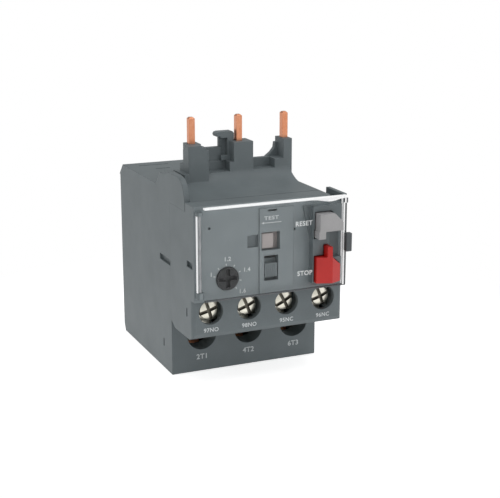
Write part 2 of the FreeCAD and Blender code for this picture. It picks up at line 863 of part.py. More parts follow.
def control_openings(case):
    """Openings in the panel for the dial, the buttons and the two sliders, and its small marks."""
    wall = D["wall"]
    inside = panel + wall
    slack = D["button_slack"]
    case.pocket("XZ", panel, inside, Circle(dial_x, D["dial_height"], D["dial_radius"] + D["fit"]))
    case.pocket("XZ", panel - D["hood_proud"], inside, outset(reset_outline(), slack))
    case.pocket("XZ", panel - D["hood_proud"], inside, outset(stop_outline(), slack))
    proud = panel - D["column_proud"]
    case.pocket("XZ", proud, inside, rectangle(
        -D["test_left"], D["test_right"], D["test_bottom"], D["test_top"]))
    case.pocket("XZ", proud, inside, rectangle(
        -D["mode_left"], D["mode_right"], D["mode_bottom"], D["mode_top"]))
    case.pocket("XZ", panel, panel + D["slot_sink"], rectangle(
        -D["sight_left"], -D["sight_left"] + D["sight_width"], D["sight_bottom"], D["sight_top"]))
    half = D["tool_slot_width"] / 2
    case.pocket("XZ", proud, panel + D["slot_sink"], rectangle(
        -half, half, D["tool_slot_level"] - D["tool_slot_height"], D["tool_slot_level"]))
    dot = D["gauge_dot"]
    for x, z in ((dial_x - 1.6 * D["dial_radius"], D["test_top"] + 2.6),
                 (D["column_right"] + dot, D["test_top"])):
        case.pocket("XZ", panel, panel + D["gauge_dot_depth"], Circle(x, z, dot))


def front_slots(case):
    """Shallow latch and pry slots in the left wall."""
    side = -half_width
    sink = D["slot_sink"]
    y = -D["front_slot_start"]
    z = D["front_slot_height"]
    case.pocket("YZ", side, side + sink, rectangle(y, y + D["front_slot_length"], z, z + D["slot_height"]))
    y = -D["aux_pry_setback"]
    z = D["aux_pry_bottom"]
    case.pocket("YZ", side, side + sink, rectangle(y, y + D["pry_slot_width"], z, z + D["pry_slot_height"]))


def hinge_ears(case):
    """Two ears that hold the cover's hinge pin."""
    r = D["hinge_radius"]
    low = D["hinge_bottom"] - D["ear_height"] - D["fit"]
    high = D["hinge_top"] + D["fit"]
    for z, tall in ((low, D["ear_height"]), (high, D["top_ear_height"])):
        case.pad("XY", z, z + tall, rectangle(hinge_x - r, hinge_x + r, hinge_y, panel))
        case.pad("XY", z, z + tall, Circle(hinge_x, hinge_y, r))
    case.pocket("XY", low - 1, high + D["top_ear_height"] + 1, Circle(
        hinge_x, hinge_y, D["hinge_pin_radius"]))


def reset_outline():
    """Front outline of the reset button: a block with one cut corner and a narrow foot."""
    bottom = D["reset_bottom"]
    top = D["reset_top"]
    cut = D["reset_cut"]
    foot_left = reset_left - D["reset_foot_step"]
    foot_right = reset_left + D["reset_foot_width"]
    foot = bottom - D["reset_foot_drop"]
    return [(foot_left, foot), (foot_right, foot), (foot_right, bottom), (reset_right, bottom),
            (reset_right, top - cut), (reset_right - cut, top), (reset_left, top), (reset_left, bottom),
            (foot_left, bottom)]


def stop_outline():
    """Front outline of the stop button: a broad block with a narrow stem above it."""
    bottom = D["stop_bottom"]
    top = D["stop_top"]
    stem = stop_ridge - D["stop_stem_width"]
    return [(stop_left, bottom), (stop_right, bottom), (stop_right, top - D["stop_cut"]),
            (stop_ridge + D["fit"], top), (stop_ridge, D["stop_stem"]), (stem, D["stop_stem"]), (stem, top),
            (stop_left, top)]


def outset(outline, slack):
    """The outline grown by a slack on every side, each corner moved along both its edges' normals."""
    points = [(size(a), size(b)) for a, b in outline]
    grown = []
    for i, here in enumerate(points):
        before = points[i - 1]
        after = points[(i + 1) % len(points)]
        n1 = normal(before, here)
        n2 = normal(here, after)
        scale = 1.0 / (1.0 + n1[0] * n2[0] + n1[1] * n2[1])
        grown.append((here[0] + slack * ((n1[0] + n2[0]) * scale),
                      here[1] + slack * ((n1[1] + n2[1]) * scale)))
    return grown


def normal(a, b):
    """The outward normal of an edge of a loop that runs anticlockwise."""
    dx = b[0].number - a[0].number
    dy = b[1].number - a[1].number
    length = math.hypot(dx, dy)
    return dy / length, -dx / length


# ---------------------------------------------------------------- transparent cover
def clear_cover():
    """Flat transparent door on a vertical hinge, with a window and a bulged lip over the buttons."""
    door = Solid("clear_cover")
    outer = -D["cover_reach"]
    inner = outer + D["cover_thickness"]
    r = D["hinge_radius"]
    low = D["hinge_bottom"]
    high = D["hinge_top"]
    door.pad("XY", D["cover_bottom"], D["cover_top"], rectangle(
        hinge_x + r + D["hinge_gap"], cover_right, outer, inner))
    door.pad("XY", low, high, Circle(hinge_x, hinge_y, r))
    door.pad("XY", low, high, rectangle(hinge_x, hinge_x + r + 2 * D["hinge_gap"], outer, inner))
    peak = -D["bulge_peak"]
    swell = outer - peak
    middle = from_right("bulge_inset")
    run = middle - window_left
    slope = cover_right - middle
    door.pad("XY", D["cover_window_top"], D["cover_top"], [
        (window_left, inner), (window_left, outer), (window_left + run * 0.35, outer - swell * 0.2),
        (window_left + run * 0.7, outer - swell * 0.75), (middle - run * 0.1, peak),
        (middle + run * 0.2, peak), (middle + slope * 0.35, outer - swell * 0.75),
        (middle + slope * 0.65, outer - swell * 0.35),
        (cover_right, outer - swell * 0.2), (cover_right, inner)])
    door.pocket("XZ", peak, inner, rectangle(
        window_left, window_right, D["cover_window_bottom"], D["cover_window_top"]))
    door.pocket("XY", low - 1, high + 1, Circle(hinge_x, hinge_y, D["hinge_pin_radius"] + D["fit"]))
    return door


def cover_fittings():
    """The steel hinge pin and the dark finger grip on the free edge."""
    foot = D["hinge_bottom"] - D["ear_height"]
    pin = rod("cover_pin", (hinge_x, hinge_y, foot), "Z", D["hinge_pin_radius"],
              D["hinge_top"] + D["top_ear_height"] - foot)
    outer = -D["cover_reach"]
    grip = block("cover_grip", (cover_right - D["grip_overlap"], outer - D["grip_proud"], D["grip_bottom"]),
                 (half_width, outer, D["grip_top"]))
    return [pin, grip]


# ---------------------------------------------------------------- screws and terminals
def slotted_screw(name, x, y, z, head_radius, head_length, shank_radius, shank_length):
    """A screw along Y, its head to the front, with a crossed slot."""
    head = rod(name + "_head", (x, y, z), "Y", head_radius, head_length)
    shank = rod(name + "_shank", (x, y + head_length, z), "Y", shank_radius, shank_length)
    body = fused(name + "_body", [head, shank])
    reach = head_radius * D["slot_reach"].number
    half = D["slot_width"] / 2
    slots = [
        block(name + "_slot_a", (x - reach, y, z - half), (x + reach, y + D["slot_depth"], z + half)),
        block(name + "_slot_b", (x - half, y, z - reach), (x + half, y + D["slot_depth"], z + reach))]
    return carved(name, body, slots)


def clamp(name, x, y, z, side, thickness, bore):
    """A square saddle with a bore for its screw."""
    half = side / 2
    tile = block(name + "_tile", (x - half, y, z - half), (x + half, y + thickness, z + half))
    return carved(name, tile, [rod(name + "_bore", (x, y, z), "Y", bore, thickness)])


def power_terminals():
    """For each pole a screw, a clamping saddle and the terminal bar that carries the strip."""
    made = []
    z = D["power_screw_height"]
    head_back = power_head_front + D["power_head_length"]
    bore = D["power_shank_radius"] + D["fit"]
    for k in POLES:
        x = pole_x(k)
        made.append(slotted_screw("power_screw_%d" % k, x, power_head_front, z, D["power_head_radius"],
                                  D["power_head_length"], D["power_shank_radius"], D["power_shank_length"]))
        made.append(clamp("power_saddle_%d" % k, x, head_back, z, D["power_saddle_width"],
                          D["power_saddle_thickness"], bore))
        made.append(power_bar("power_terminal_%d" % k, x, z, bore))
    return made


def power_bar(name, x, z, bore):
    """Terminal plate, the bar behind it, and the cradle for the strip's rolled root."""
    half = D["power_plate_width"] / 2
    pivot = D["strip_pivot"]
    root = D["strip_root_radius"]
    cradle_half = root + D["cradle_wall"]
    low = D["strip_reach"] - D["strip_width"] / 2
    high = low + D["strip_width"]
    arm = D["arm_width"] / 2
    top = pivot - D["arm_thickness"]
    foot = pivot - D["cradle_drop"]
    lead = low - D["lead_gap"]
    mouth = D["cradle_mouth"] / 2
    plate_back = power_plate_front + D["power_plate_thickness"]
    rim = pivot + D["cradle_rise"]
    lead_front = lead - D["lead_thickness"]
    parts = [
        block(name + "_plate", (x - half, power_plate_front, D["wall"]), (x + half, plate_back, top)),
        block(name + "_bar", (x - arm, plate_back, foot), (x + arm, low, top)),
        block(name + "_cradle", (x - cradle_half, low, foot), (x + cradle_half, high, rim)),
        block(name + "_lead", (x - arm, lead_front, top), (x + arm, lead, D["heater_bottom"]))]
    cuts = [
        rod(name + "_screw_bore", (x, power_plate_front, z), "Y", bore, D["power_plate_thickness"]),
        rod(name + "_root_bore", (x, low, pivot), "Y", root + D["fit"], D["strip_width"]),
        block(name + "_root_mouth", (x - mouth, low, pivot), (x + mouth, high, pivot + 2 * root))]
    return carved(name, fused(name + "_body", parts), cuts)


def aux_terminals():
    """Four small screws with saddles on plates that slide into the block's ribs."""
    made = []
    z = D["aux_screw_height"]
    head_back = aux_head_front + D["aux_head_length"]
    plate_back = aux_plate_front + D["aux_plate_thickness"]
    bore = D["aux_shank_radius"] + D["fit"]
    wide = aux_pitch / 2 - D["aux_plate_gap"]
    floor = D["aux_floor"]
    ceiling = D["aux_ceiling"]
    for k in AUX:
        x = aux_x(k)
        made.append(slotted_screw("aux_screw_%d" % k, x, aux_head_front, z, D["aux_head_radius"],
                                  D["aux_head_length"], D["aux_shank_radius"], D["aux_shank_length"]))
        made.append(clamp("aux_saddle_%d" % k, x, head_back, z, D["aux_saddle_width"],
                          D["aux_saddle_thickness"], bore))
        name = "aux_terminal_%d" % k
        parts = [
            block(name + "_plate", (x - wide, aux_plate_front, floor), (x + wide, plate_back, ceiling)),
            block(name + "_foot", (x - wide, plate_back, floor),
                  (x + wide, front - D["wall"], floor + D["aux_foot_thickness"]))]
        hole = rod(name + "_bore", (x, aux_plate_front, z), "Y", bore, D["aux_plate_thickness"])
        made.append(carved(name, fused(name + "_body", parts), [hole]))
    return made


# ---------------------------------------------------------------- poles
def poles():
    """For each pole the input pin, the wound heater and the bimetal strip."""
    made = []
    for k in POLES:
        made.append(input_pin("input_pin_%d" % k, pin_x(k), pole_x(k)))
        made.append(heater("heater_%d" % k, pole_x(k)))
        made.append(bimetal("bimetal_%d" % k, pole_x(k)))
    return made


def input_pin(name, x, pole):
    """Square copper pin with a chamfered tip and a flat arm back to its pole's heater."""
    half = D["pin_width"] / 2
    deep = D["pin_depth"] / 2
    arm = D["pin_arm_height"]
    wide = D["arm_width"] / 2
    top = D["pin_height"]
    pin = Solid(name)
    pin.pad("XY", arm, top, rectangle(x - half, x + half, pin_y - deep, pin_y + deep))
    pin.chamfer(D["pin_chamfer"], lambda edge: near(edge.BoundBox.ZMin, top))
    lead = D["strip_reach"] - D["strip_width"] / 2 - D["lead_gap"]
    pin.pad("XY", arm - D["arm_thickness"], arm, rectangle(pole - wide, pole + wide, pin_y - deep, lead))
    return pin


def heater(name, x):
    """Flat ribbon wound round the strip: rings joined by a riser on alternate sides."""
    gap = D["heater_gap"] + D["strip_thickness"] / 2
    gauge = D["heater_gauge"]
    out = gap + gauge
    near_y = D["strip_reach"] - D["strip_width"] / 2 - D["lead_gap"]
    far_y = D["strip_reach"] + D["strip_width"] / 2 + D["lead_gap"]
    tall = D["heater_ribbon"]
    bridge = D["heater_bridge"] / 2
    wide = D["arm_width"] / 2
    winding = Solid(name)
    turns = int(D["heater_turns"].number)
    for turn in range(turns):
        z = D["heater_bottom"] + D["heater_pitch"] * turn
        winding.pad("XY", z, z + tall, rectangle(x - out, x + out, near_y - gauge, far_y + gauge),
                    rectangle(x - gap, x + gap, near_y, far_y))
        if turn < turns - 1:
            side = x + gap if turn % 2 else x - out
            winding.pad("XY", z + tall, z + D["heater_pitch"], rectangle(
                side, side + gauge, D["strip_reach"] - bridge, D["strip_reach"] + bridge))
    last = D["heater_bottom"] + D["heater_pitch"] * (turns - 1) + tall
    winding.pad("XY", last, D["pin_arm_height"], rectangle(x - wide, x + wide, near_y, near_y + gauge))
    winding.pad("XY", last - tall / 3, last, rectangle(x - wide, x + wide, near_y - gauge, near_y + gauge))
    return winding


def bimetal(name, x):
    """Bimetal strip on a rolled root."""
    half = D["strip_thickness"] / 2
    low = D["strip_reach"] - D["strip_width"] / 2
    root = rod(name + "_root", (x, low, D["strip_pivot"]), "Y", D["strip_root_radius"], D["strip_width"])
    strip = block(name + "_strip", (x - half, low, D["strip_pivot"]),
                  (x + half, low + D["strip_width"], D["strip_top"]))
    return fused(name, [root, strip])


# ---------------------------------------------------------------- trip train
bar_left = from_left("bar_inset_left")
bar_right = from_right("bar_inset_right")
rocker_x = from_right("rocker_inset")
frame_front = -D["frame_reach"]
frame_back = frame_front + D["frame_thickness"]
follower_tip = dial_x + D["cam_radius"] + D["cam_lift"] + 4 * D["fit"]


def slide_bars():
    """The push bar above the pull bar, each with a window round every strip."""
    made = []
    strip = D["strip_reach"]
    low = strip - D["bar_depth"] / 2
    high = strip + D["bar_depth"] / 2
    level = D["bar_floor"] + D["fit"]
    reach = D["strip_thickness"] / 2 + D["bar_slack"]
    deep = D["strip_width"] / 2 + D["bar_slack"]
    for name, z in (("pull_bar", level), ("push_bar", level + D["bar_thickness"] + D["fit"])):
        bar = Solid(name)
        top = z + D["bar_thickness"]
        bar.pad("XY", z, top, rectangle(bar_left, bar_right, low, high))
        for k in POLES:
            bar.pocket("XY", z, top, rectangle(
                pole_x(k) - reach, pole_x(k) + reach, strip - deep, strip + deep))
        if name == "push_bar":
            bar.pad("XY", z, top, rectangle(
                bar_left, bar_left + D["bar_arm"], frame_back + D["fit"], low))
        made.append(bar)
    return made



def inner_frame():
    """Plate behind the controls: spring seats, button guides and the pegs of the two levers."""
    plate = Solid("inner_frame")
    y0 = frame_front
    y1 = frame_back
    plate.pad("XZ", y0, y1, rectangle(
        -inner_half, inner_half, D["aux_ceiling"] + D["wall"], D["pole_ceiling"]))
    for x, z in (button_axis("reset"), button_axis("stop")):
        plate.pocket("XZ", y0, y1, Circle(x, z, D["stem_radius"] + D["fit"]))
    plate.pocket("XZ", y0, y1, Circle(dial_x, D["dial_height"], D["dial_shaft_radius"] + D["fit"]))
    for x, z in ((-D["trip_lever_x"], D["trip_lever_height"]), (rocker_x, D["rocker_height"])):
        plate.pad("XZ", y1, y1 + D["lever_thickness"] + D["peg_proud"], Circle(x, z, D["pivot_radius"]))
    rail_left = follower_tip + D["rail_setback"]
    half = D["follower_height"] / 2 + D["fit"]
    for low in (D["dial_height"] - half - D["rail_thickness"], D["dial_height"] + half):
        plate.pad("XZ", y0 - D["rail_depth"], y0, rectangle(
            rail_left, rail_left + D["rail_length"], low, low + D["rail_thickness"]))
    slack = D["leg_slack"]
    tall = D["leg_height"] / 2 + D["fit"]
    left, right, z = test_leg()
    plate.pocket("XZ", y0, y1, rectangle(left - slack, right + D["test_travel"] + slack, z - tall, z + tall))
    left, right, z = mode_leg()
    plate.pocket("XZ", y0, y1, rectangle(left - slack, right + slack, z - tall, z + tall + D["mode_travel"]))
    return plate


def test_leg():
    """Left, right and middle height of the leg that joins the test slider to the trip train."""
    half = D["leg_width"] / 2
    shift = D["test_leg_offset"]
    return -half - shift, half - shift, (D["test_bottom"] + D["test_top"]) / 2 + D["test_leg_rise"]


def mode_leg():
    """Left, right and middle height of the mode slider's leg."""
    half = D["leg_width"] / 2
    shift = D["mode_leg_offset"]
    return shift - half, shift + half, (D["mode_bottom"] + D["mode_top"]) / 2


def button_axis(name):
    """The line on which a button's stem and spring lie."""
    if name == "reset":
        return (reset_left + reset_right) / 2, (D["reset_bottom"] + D["reset_top"]) / 2 - D["reset_foot_step"]
    return (stop_left + stop_right) / 2, (D["stop_bottom"] + D["stop_top"]) / 2 - D["root"]


def levers():
    """The trip lever that the push bar works, and the rocker that carries the moving contacts."""
    tail_run = rocker_x + D["trip_lever_x"] - D["trip_tail_gap"]
    trip_reach = bar_left + D["bar_arm"] + D["trip_arm_clearance"] + D["trip_lever_x"]
    trip = lever("trip_lever", -D["trip_lever_x"], D["trip_lever_height"], (
        (trip_reach, D["trip_arm_rise"]), (tail_run, -D["trip_tail_drop"])))
    rocker = lever("contact_rocker", rocker_x, D["rocker_height"], (
        (-D["rocker_run"], -D["rocker_drop"]), (D["rocker_run"], D["rocker_rise"])))
    return [trip, rocker]


def lever(name, x, z, tips):
    """A hub on a peg with two tapered arms."""
    y0 = frame_back + D["fit"]
    y1 = y0 + D["lever_thickness"]
    root = D["arm_root"]
    tip = D["arm_tip"]
    made = Solid(name)
    made.pad("XZ", y0, y1, Circle(x, z, D["pivot_radius"] + D["hub_wall"]))
    for dx, dz in tips:
        length = math.hypot(dx.number, dz.number)
        nx = -dz.number / length
        nz = dx.number / length
        made.pad("XZ", y0, y1, [
            (x - root * nx, z - root * nz), (x + dx - tip * nx, z + dz - tip * nz),
            (x + dx + tip * nx, z + dz + tip * nz), (x + root * nx, z + root * nz)])
    made.pocket("XZ", y0, y1, Circle(x, z, D["pivot_radius"] + D["fit"]))
    return made


def fixed_contacts():
    """Fixed contact blades on the inner frame, one for the closed and one for the open circuit."""
    made = []
    y0 = frame_back
    x = rocker_x
    z = D["rocker_height"]
    for name, left, bottom in (("nc_contact", x + D["nc_run"], z + D["nc_rise"]),
                               ("no_contact", x - D["no_run"], z - D["no_drop"])):
        blade = Solid(name)
        blade.pad("XZ", y0, y0 + D["blade_depth"], rectangle(
            left, left + D["blade_width"], bottom, bottom + D["blade_height"]))
        blade.pad("XZ", y0, y0 + D["blade_foot_depth"], rectangle(
            left, left + D["blade_foot"], bottom - D["blade_foot_height"], bottom))
        made.append(blade)
    return made


# ---------------------------------------------------------------- controls
panel_back = panel + D["wall"]
flange_front = panel_back + D["fit"]
flange_back = flange_front + D["flange_thickness"]


def button(name, outline, flange):
    """A button cap with a retaining flange behind the panel and a round guide stem."""
    cap = Solid(name)
    cap.pad("XZ", -D["button_reach"], flange_back, outline)
    cap.pad("XZ", flange_front, flange_back, flange)
    x, z = button_axis(name.split("_")[0])
    cap.pad("XZ", flange_back, frame_back + D["stem_proud"], Circle(x, z, D["stem_radius"]))
    return cap


def buttons():
    """The reset button, and the stop button with its face sloping away from a ridge."""
    trim = D["flange_trim"]
    grow = D["button_flange"]
    reset = button("reset_button", reset_outline(), rectangle(
        reset_left + trim, reset_right + grow, D["reset_bottom"] + trim, D["reset_top"] - trim))
    stop = button("stop_button", stop_outline(), rectangle(
        stop_left - grow, stop_right + grow, D["stop_bottom"] + trim, D["stop_top"] - D["stop_cut"] - trim))
    face = -D["button_reach"]
    before = face - D["fit"]
    slope = D["stop_slope"]
    bottom = D["stop_bottom"] - 1
    for side in (stop_left - 1, stop_right + 1):
        stop.pocket("XY", bottom, D["stop_stem"] + 1, [
            (side, before), (stop_ridge, before), (stop_ridge, face), (side, face + slope)])
    return [reset, stop]


SPRING_TURNS = 4
WIRE_SIDES = 4


def spring(name, button_name):
    """Compression spring between a button's flange and the inner frame."""
    x, z = button_axis(button_name)
    gauge = D["spring_gauge"].number
    radius = D["spring_radius"].number
    coil_length = (frame_front - flange_back).number - 2 * gauge
    helix = Part.makeHelix(coil_length / SPRING_TURNS, coil_length, radius)
    corners = []
    for i in range(WIRE_SIDES + 1):
        turn = math.radians(360 * i / WIRE_SIDES)
        corners.append(Vector(radius + gauge / 2 * math.cos(turn), 0, gauge / 2 * math.sin(turn)))
    feature = doc.addObject("Part::Feature", name)
    feature.Shape = Part.Wire(helix.Edges).makePipeShell([Part.makePolygon(corners)], True, True)
    feature.Placement = Placement(Vector(x.number, flange_back.number + gauge, z.number), TURNS["Y"])
    return feature


def setting_dial():
    """Recessed-cross dial with a collar behind the panel and a shaft to the inner frame."""
    dial = Solid("setting_dial")
    x = dial_x
    z = D["dial_height"]
    face = panel - D["dial_proud"]
    collar_back = flange_front + D["dial_collar_thickness"]
    dial.pad("XZ", face, flange_front, Circle(x, z, D["dial_radius"]))
    dial.pad("XZ", flange_front, collar_back, Circle(x, z, D["dial_radius"] + D["dial_collar"]))
    dial.pad("XZ", collar_back, frame_back, Circle(x, z, D["dial_shaft_radius"]))
    reach = D["dial_radius"] * D["slot_reach"].number
    half = D["slot_width"] / 2 + 2 * D["fit"]
    bed = face + D["dial_slot_depth"]
    dial.pocket("XZ", face, bed, rectangle(x - reach, x + reach, z - half, z + half))
    dial.pocket("XZ", face, bed, rectangle(x - half, x + half, z - reach, z + reach))
    return dial


DIAL_TRAVEL = 216.0
CAM_ARCS = 6


def cam_point(share):
    """A point of the snail cam after this share of the dial's travel."""
    radius = D["cam_radius"].number + D["cam_lift"].number * (1 - share)
    angle = -math.radians(DIAL_TRAVEL * share)
    return Vector(radius * math.cos(angle), radius * math.sin(angle), 0)


def dial_cam():
    """Snail cam on the dial's shaft: its radius grows evenly over the dial's travel."""
    rise = []
    for i in range(CAM_ARCS):
        ends = [cam_point((i + part) / CAM_ARCS) for part in (0, 0.5, 1)]
        rise.append(Part.Arc(*ends).toShape())
    low = D["cam_radius"].number
    middle = -math.radians((DIAL_TRAVEL + 360) / 2)
    lowest = Vector(low * math.cos(middle), low * math.sin(middle), 0)
    rest = Part.Arc(cam_point(1), lowest, Vector(low, 0, 0))
    step = Part.LineSegment(Vector(low, 0, 0), cam_point(0))
    wire = Part.Wire(rise + [rest.toShape(), step.toShape()])
    thickness = D["cam_thickness"].number
    disc = Part.Face(wire).extrude(Vector(0, 0, thickness))
    feature = doc.addObject("Part::Feature", "dial_cam")
    feature.Shape = disc.cut(Part.makeCylinder(D["dial_shaft_radius"].number, thickness))
    start = frame_front - D["cam_thickness"] - D["cam_standoff"]
    feature.Placement = Placement(Vector(dial_x.number, start.number, D["dial_height"].number), TURNS["Y"])
    return feature


def adjust_slide():
    """Follower of the snail cam: it slides along X on the inner frame and loads the trip lever."""
    slide = Solid("adjust_slide")
    back_face = frame_front - D["fit"]
    z = D["dial_height"]
    half = D["follower_height"] / 2
    point = D["follower_point"]
    end = follower_tip + D["follower_length"]
    slide.pad("XZ", back_face - D["follower_depth"], back_face, [
        (follower_tip, z - point), (follower_tip + point, z - half), (end, z - half), (end, z + half),
        (follower_tip + point, z + half), (follower_tip, z + point)])
    return slide


RIBS = 5


def sliders():
    """The test slider in its window, and the ribbed mode slider that moves up in the window below."""
    middle = (D["test_bottom"] + D["test_top"]) / 2
    play = D["leg_slack"]
    plate = flange_front + D["slide_flange"]
    rise = D["test_flange_rise"]
    test = Solid("test_slider")
    left = D["test_sink"] - D["test_left"]
    test.pad("XZ", panel + D["test_sink"], flange_front, rectangle(
        left, left + D["test_width"], D["test_bottom"] + D["test_sink"], D["test_top"] - D["test_sink"]))
    test.pad("XZ", flange_front, plate, rectangle(
        -D["test_left"] - 2 * D["slide_flange"], D["test_right"] + D["slide_flange"],
        middle - rise, middle + rise))
    low, high, z = test_leg()
    half = D["leg_height"] / 2
    test.pad("XZ", plate, frame_back, rectangle(low, high, z - half, z + half))
    mode = Solid("mode_slider")
    z0 = D["mode_bottom"] + D["flange_thickness"]
    left = play - D["mode_left"]
    face = panel - D["mode_proud"]
    mode.pad("XZ", face, flange_front, rectangle(left, left + D["mode_width"], z0, z0 + D["mode_height"]))
    for i in range(RIBS):
        rib = left + D["rib_edge"] + D["rib_pitch"] * i
        mode.pocket("XZ", face, panel, rectangle(
            rib, rib + D["rib_groove"], z0 - D["fit"], z0 + D["mode_height"] + D["fit"]))
    mode.pad("XZ", flange_front, plate, rectangle(
        -D["mode_left"] - D["slide_flange"], D["mode_right"] + D["slide_flange"],
        D["mode_bottom"] - D["flange_trim"], D["mode_top"] - D["slide_flange"]))
    low, high, z = mode_leg()
    mode.pad("XZ", plate, frame_back, rectangle(low, high, z - half, z + half))
    return [test, mode]


# ---------------------------------------------------------------- build, check and write
def finished(thing):
    """The document object that carries a sub-part's final shape."""
    return thing.body if isinstance(thing, Solid) else thing


def build():
    things = [rear_case(), front_case(), clear_cover()]
    things += cover_fittings()
    things += power_terminals()
    things += aux_terminals()
    things += poles()
    things += slide_bars()
    things += [inner_frame()]
    things += levers()
    things += fixed_contacts()
    things += buttons()
    things += [spring("reset_spring", "reset"), spring("stop_spring", "stop")]
    things += [setting_dial(), dial_cam(), adjust_slide()]
    things += sliders()
    return [finished(thing) for thing in things]


def write(parts):
    """Check every object and every sub-part's shape, then write one file for each sub-part."""
    doc.recompute()
    for item in doc.Objects:
        if "Invalid" in item.State or "Error" in item.State:
            raise RuntimeError("%s failed: %s" % (item.Name, item.State))
    for part in parts:
        if part.Shape.isNull() or not part.Shape.isValid():
            raise RuntimeError("%s has no valid shape" % part.Name)
        if part.Shape.Volume <= 0 or not part.Shape.Solids:
            raise RuntimeError("%s is not solid" % part.Name)
    os.makedirs("parts", exist_ok=True)
    facets = 0
    for part in parts:
        part.Label = part.Name
        part.Shape.exportStep("parts/%s.step" % part.Label)
        count = len(part.Shape.tessellate(0.1)[1])
        facets += count
        box = part.Shape.BoundBox
        print("%-18s solids %d facets %5d  x %6.2f %6.2f  y %6.2f %6.2f  z %6.2f %6.2f" % (
            part.Label, len(part.Shape.Solids), count,
            box.XMin, box.XMax, box.YMin, box.YMax, box.ZMin, box.ZMax))
    print("sub-parts", len(parts), "facets", facets)


write(build())
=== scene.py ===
import json
import math

import bmesh
import bpy
from mathutils import Matrix, Vector


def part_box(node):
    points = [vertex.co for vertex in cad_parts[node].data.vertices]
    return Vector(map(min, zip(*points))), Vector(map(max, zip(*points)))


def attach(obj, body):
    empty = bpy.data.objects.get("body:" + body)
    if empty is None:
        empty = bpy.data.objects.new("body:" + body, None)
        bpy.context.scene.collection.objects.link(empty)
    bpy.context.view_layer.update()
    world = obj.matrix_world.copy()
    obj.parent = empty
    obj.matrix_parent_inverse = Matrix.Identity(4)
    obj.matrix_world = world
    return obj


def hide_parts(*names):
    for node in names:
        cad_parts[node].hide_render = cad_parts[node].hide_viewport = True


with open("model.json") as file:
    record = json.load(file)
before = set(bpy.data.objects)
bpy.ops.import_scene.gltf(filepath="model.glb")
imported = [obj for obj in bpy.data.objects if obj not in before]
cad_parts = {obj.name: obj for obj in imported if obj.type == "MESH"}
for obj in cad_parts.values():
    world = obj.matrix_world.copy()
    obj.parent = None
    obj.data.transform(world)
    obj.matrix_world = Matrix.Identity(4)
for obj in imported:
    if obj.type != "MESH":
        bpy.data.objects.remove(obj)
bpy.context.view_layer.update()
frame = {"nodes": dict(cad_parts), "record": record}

MM = 0.001
POLES = (1, 2, 3)
AUX = (1, 2, 3, 4)
scene = bpy.context.scene


# ---------------------------------------------------------------- places that come from the frame
def middle(node):
    """The middle of a CAD node's box."""
    low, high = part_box(node)
    return [(a + b) / 2 for a, b in zip(low, high)]


DIAL_X, _, DIAL_Z = middle("setting_dial")
PANEL_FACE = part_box("setting_dial")[0][1] + 0.5 * MM
PANEL_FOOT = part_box("clear_cover")[0][2] - 0.4 * MM
HOOD_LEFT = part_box("stop_button")[0][0] - 4.4 * MM
COLUMN_X = middle("mode_slider")[0]
COLUMN_FACE = PANEL_FACE - 0.3 * MM
TEST_WINDOW_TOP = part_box("test_slider")[1][2]
COVER_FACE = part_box("cover_grip")[1][1]
AUX_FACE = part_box("aux_screw_1")[0][1] - 1.5 * MM
SILL_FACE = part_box("power_screw_1")[0][1] - 6.5 * MM


# ---------------------------------------------------------------- node trees and colours
def linear(code):
    """An sRGB hex colour as the linear RGBA that shaders use."""
    parts = [int(code[i:i + 2], 16) / 255 for i in (1, 3, 5)]
    return [c / 12.92 if c <= 0.04045 else ((c + 0.055) / 1.055) ** 2.4 for c in parts] + [1.0]


def feed(tree, node, **inputs):
    """Give a node's inputs a link or a value: Base_Color names a socket, and i2 is the third one."""
    for name, value in inputs.items():
        key = int(name[1:]) if name[0] == "i" and name[1:].isdigit() else name.replace("_", " ")
        if isinstance(value, bpy.types.NodeSocket):
            tree.links.new(value, node.inputs[key])
        else:
            node.inputs[key].default_value = value


def add(tree, kind, settings=None, **inputs):
    """Add a node with its settings, and feed its inputs."""
    node = tree.nodes.new(kind)
    for name, value in (settings or {}).items():
        setattr(node, name, value)
    feed(tree, node, **inputs)
    return node


def material(name):
    """A new material with its tree, its Principled shader and its Object coordinates."""
    made = bpy.data.materials.new(name)
    made.use_nodes = True
    tree = made.node_tree
    shader = tree.nodes["Principled BSDF"]
    place = add(tree, "ShaderNodeTexCoord").outputs["Object"]
    return made, tree, shader, place


# ---------------------------------------------------------------- finishes
# The widths of the patterns. Real grain and scratches are under 0.1 mm, too fine to show,
# so each finish draws them two or three times as coarse.
FLOW_MM = 9.0
TARNISH_MM = 2.5
SMUDGE_MM = 6.0
INK_MM = 0.4
SCRATCH_DEPTH_MM = 0.01
# Noise mostly stays this close to 0.5, so a finish's two colours are spread over that much.
MOULDED_SPREAD = 0.16
METAL_SPREAD = 0.14


def shaded(tree, shader, tone, low, high, wear, smooth, rough):
    """Colour from low to high with the tone, and roughness from smooth to rough with the wear."""
    tint = add(tree, "ShaderNodeMix", {"data_type": "RGBA"}, i0=tone, i6=linear(low), i7=linear(high))
    sheen = add(tree, "ShaderNodeMapRange", Value=wear, To_Min=smooth, To_Max=rough)
    feed(tree, shader, Base_Color=tint.outputs[2], Roughness=sheen.outputs[0])


def relief(tree, shader, height, strength, depth_mm, edge_mm):
    """A fine relief over the faces, and sharp edges that shade as small rounds."""
    edges = add(tree, "ShaderNodeBevel", {"samples": 6}, Radius=edge_mm * MM)
    bump = add(tree, "ShaderNodeBump", Strength=strength, Distance=depth_mm * MM, Height=height,
               Normal=edges.outputs["Normal"])
    feed(tree, shader, Normal=bump.outputs["Normal"])


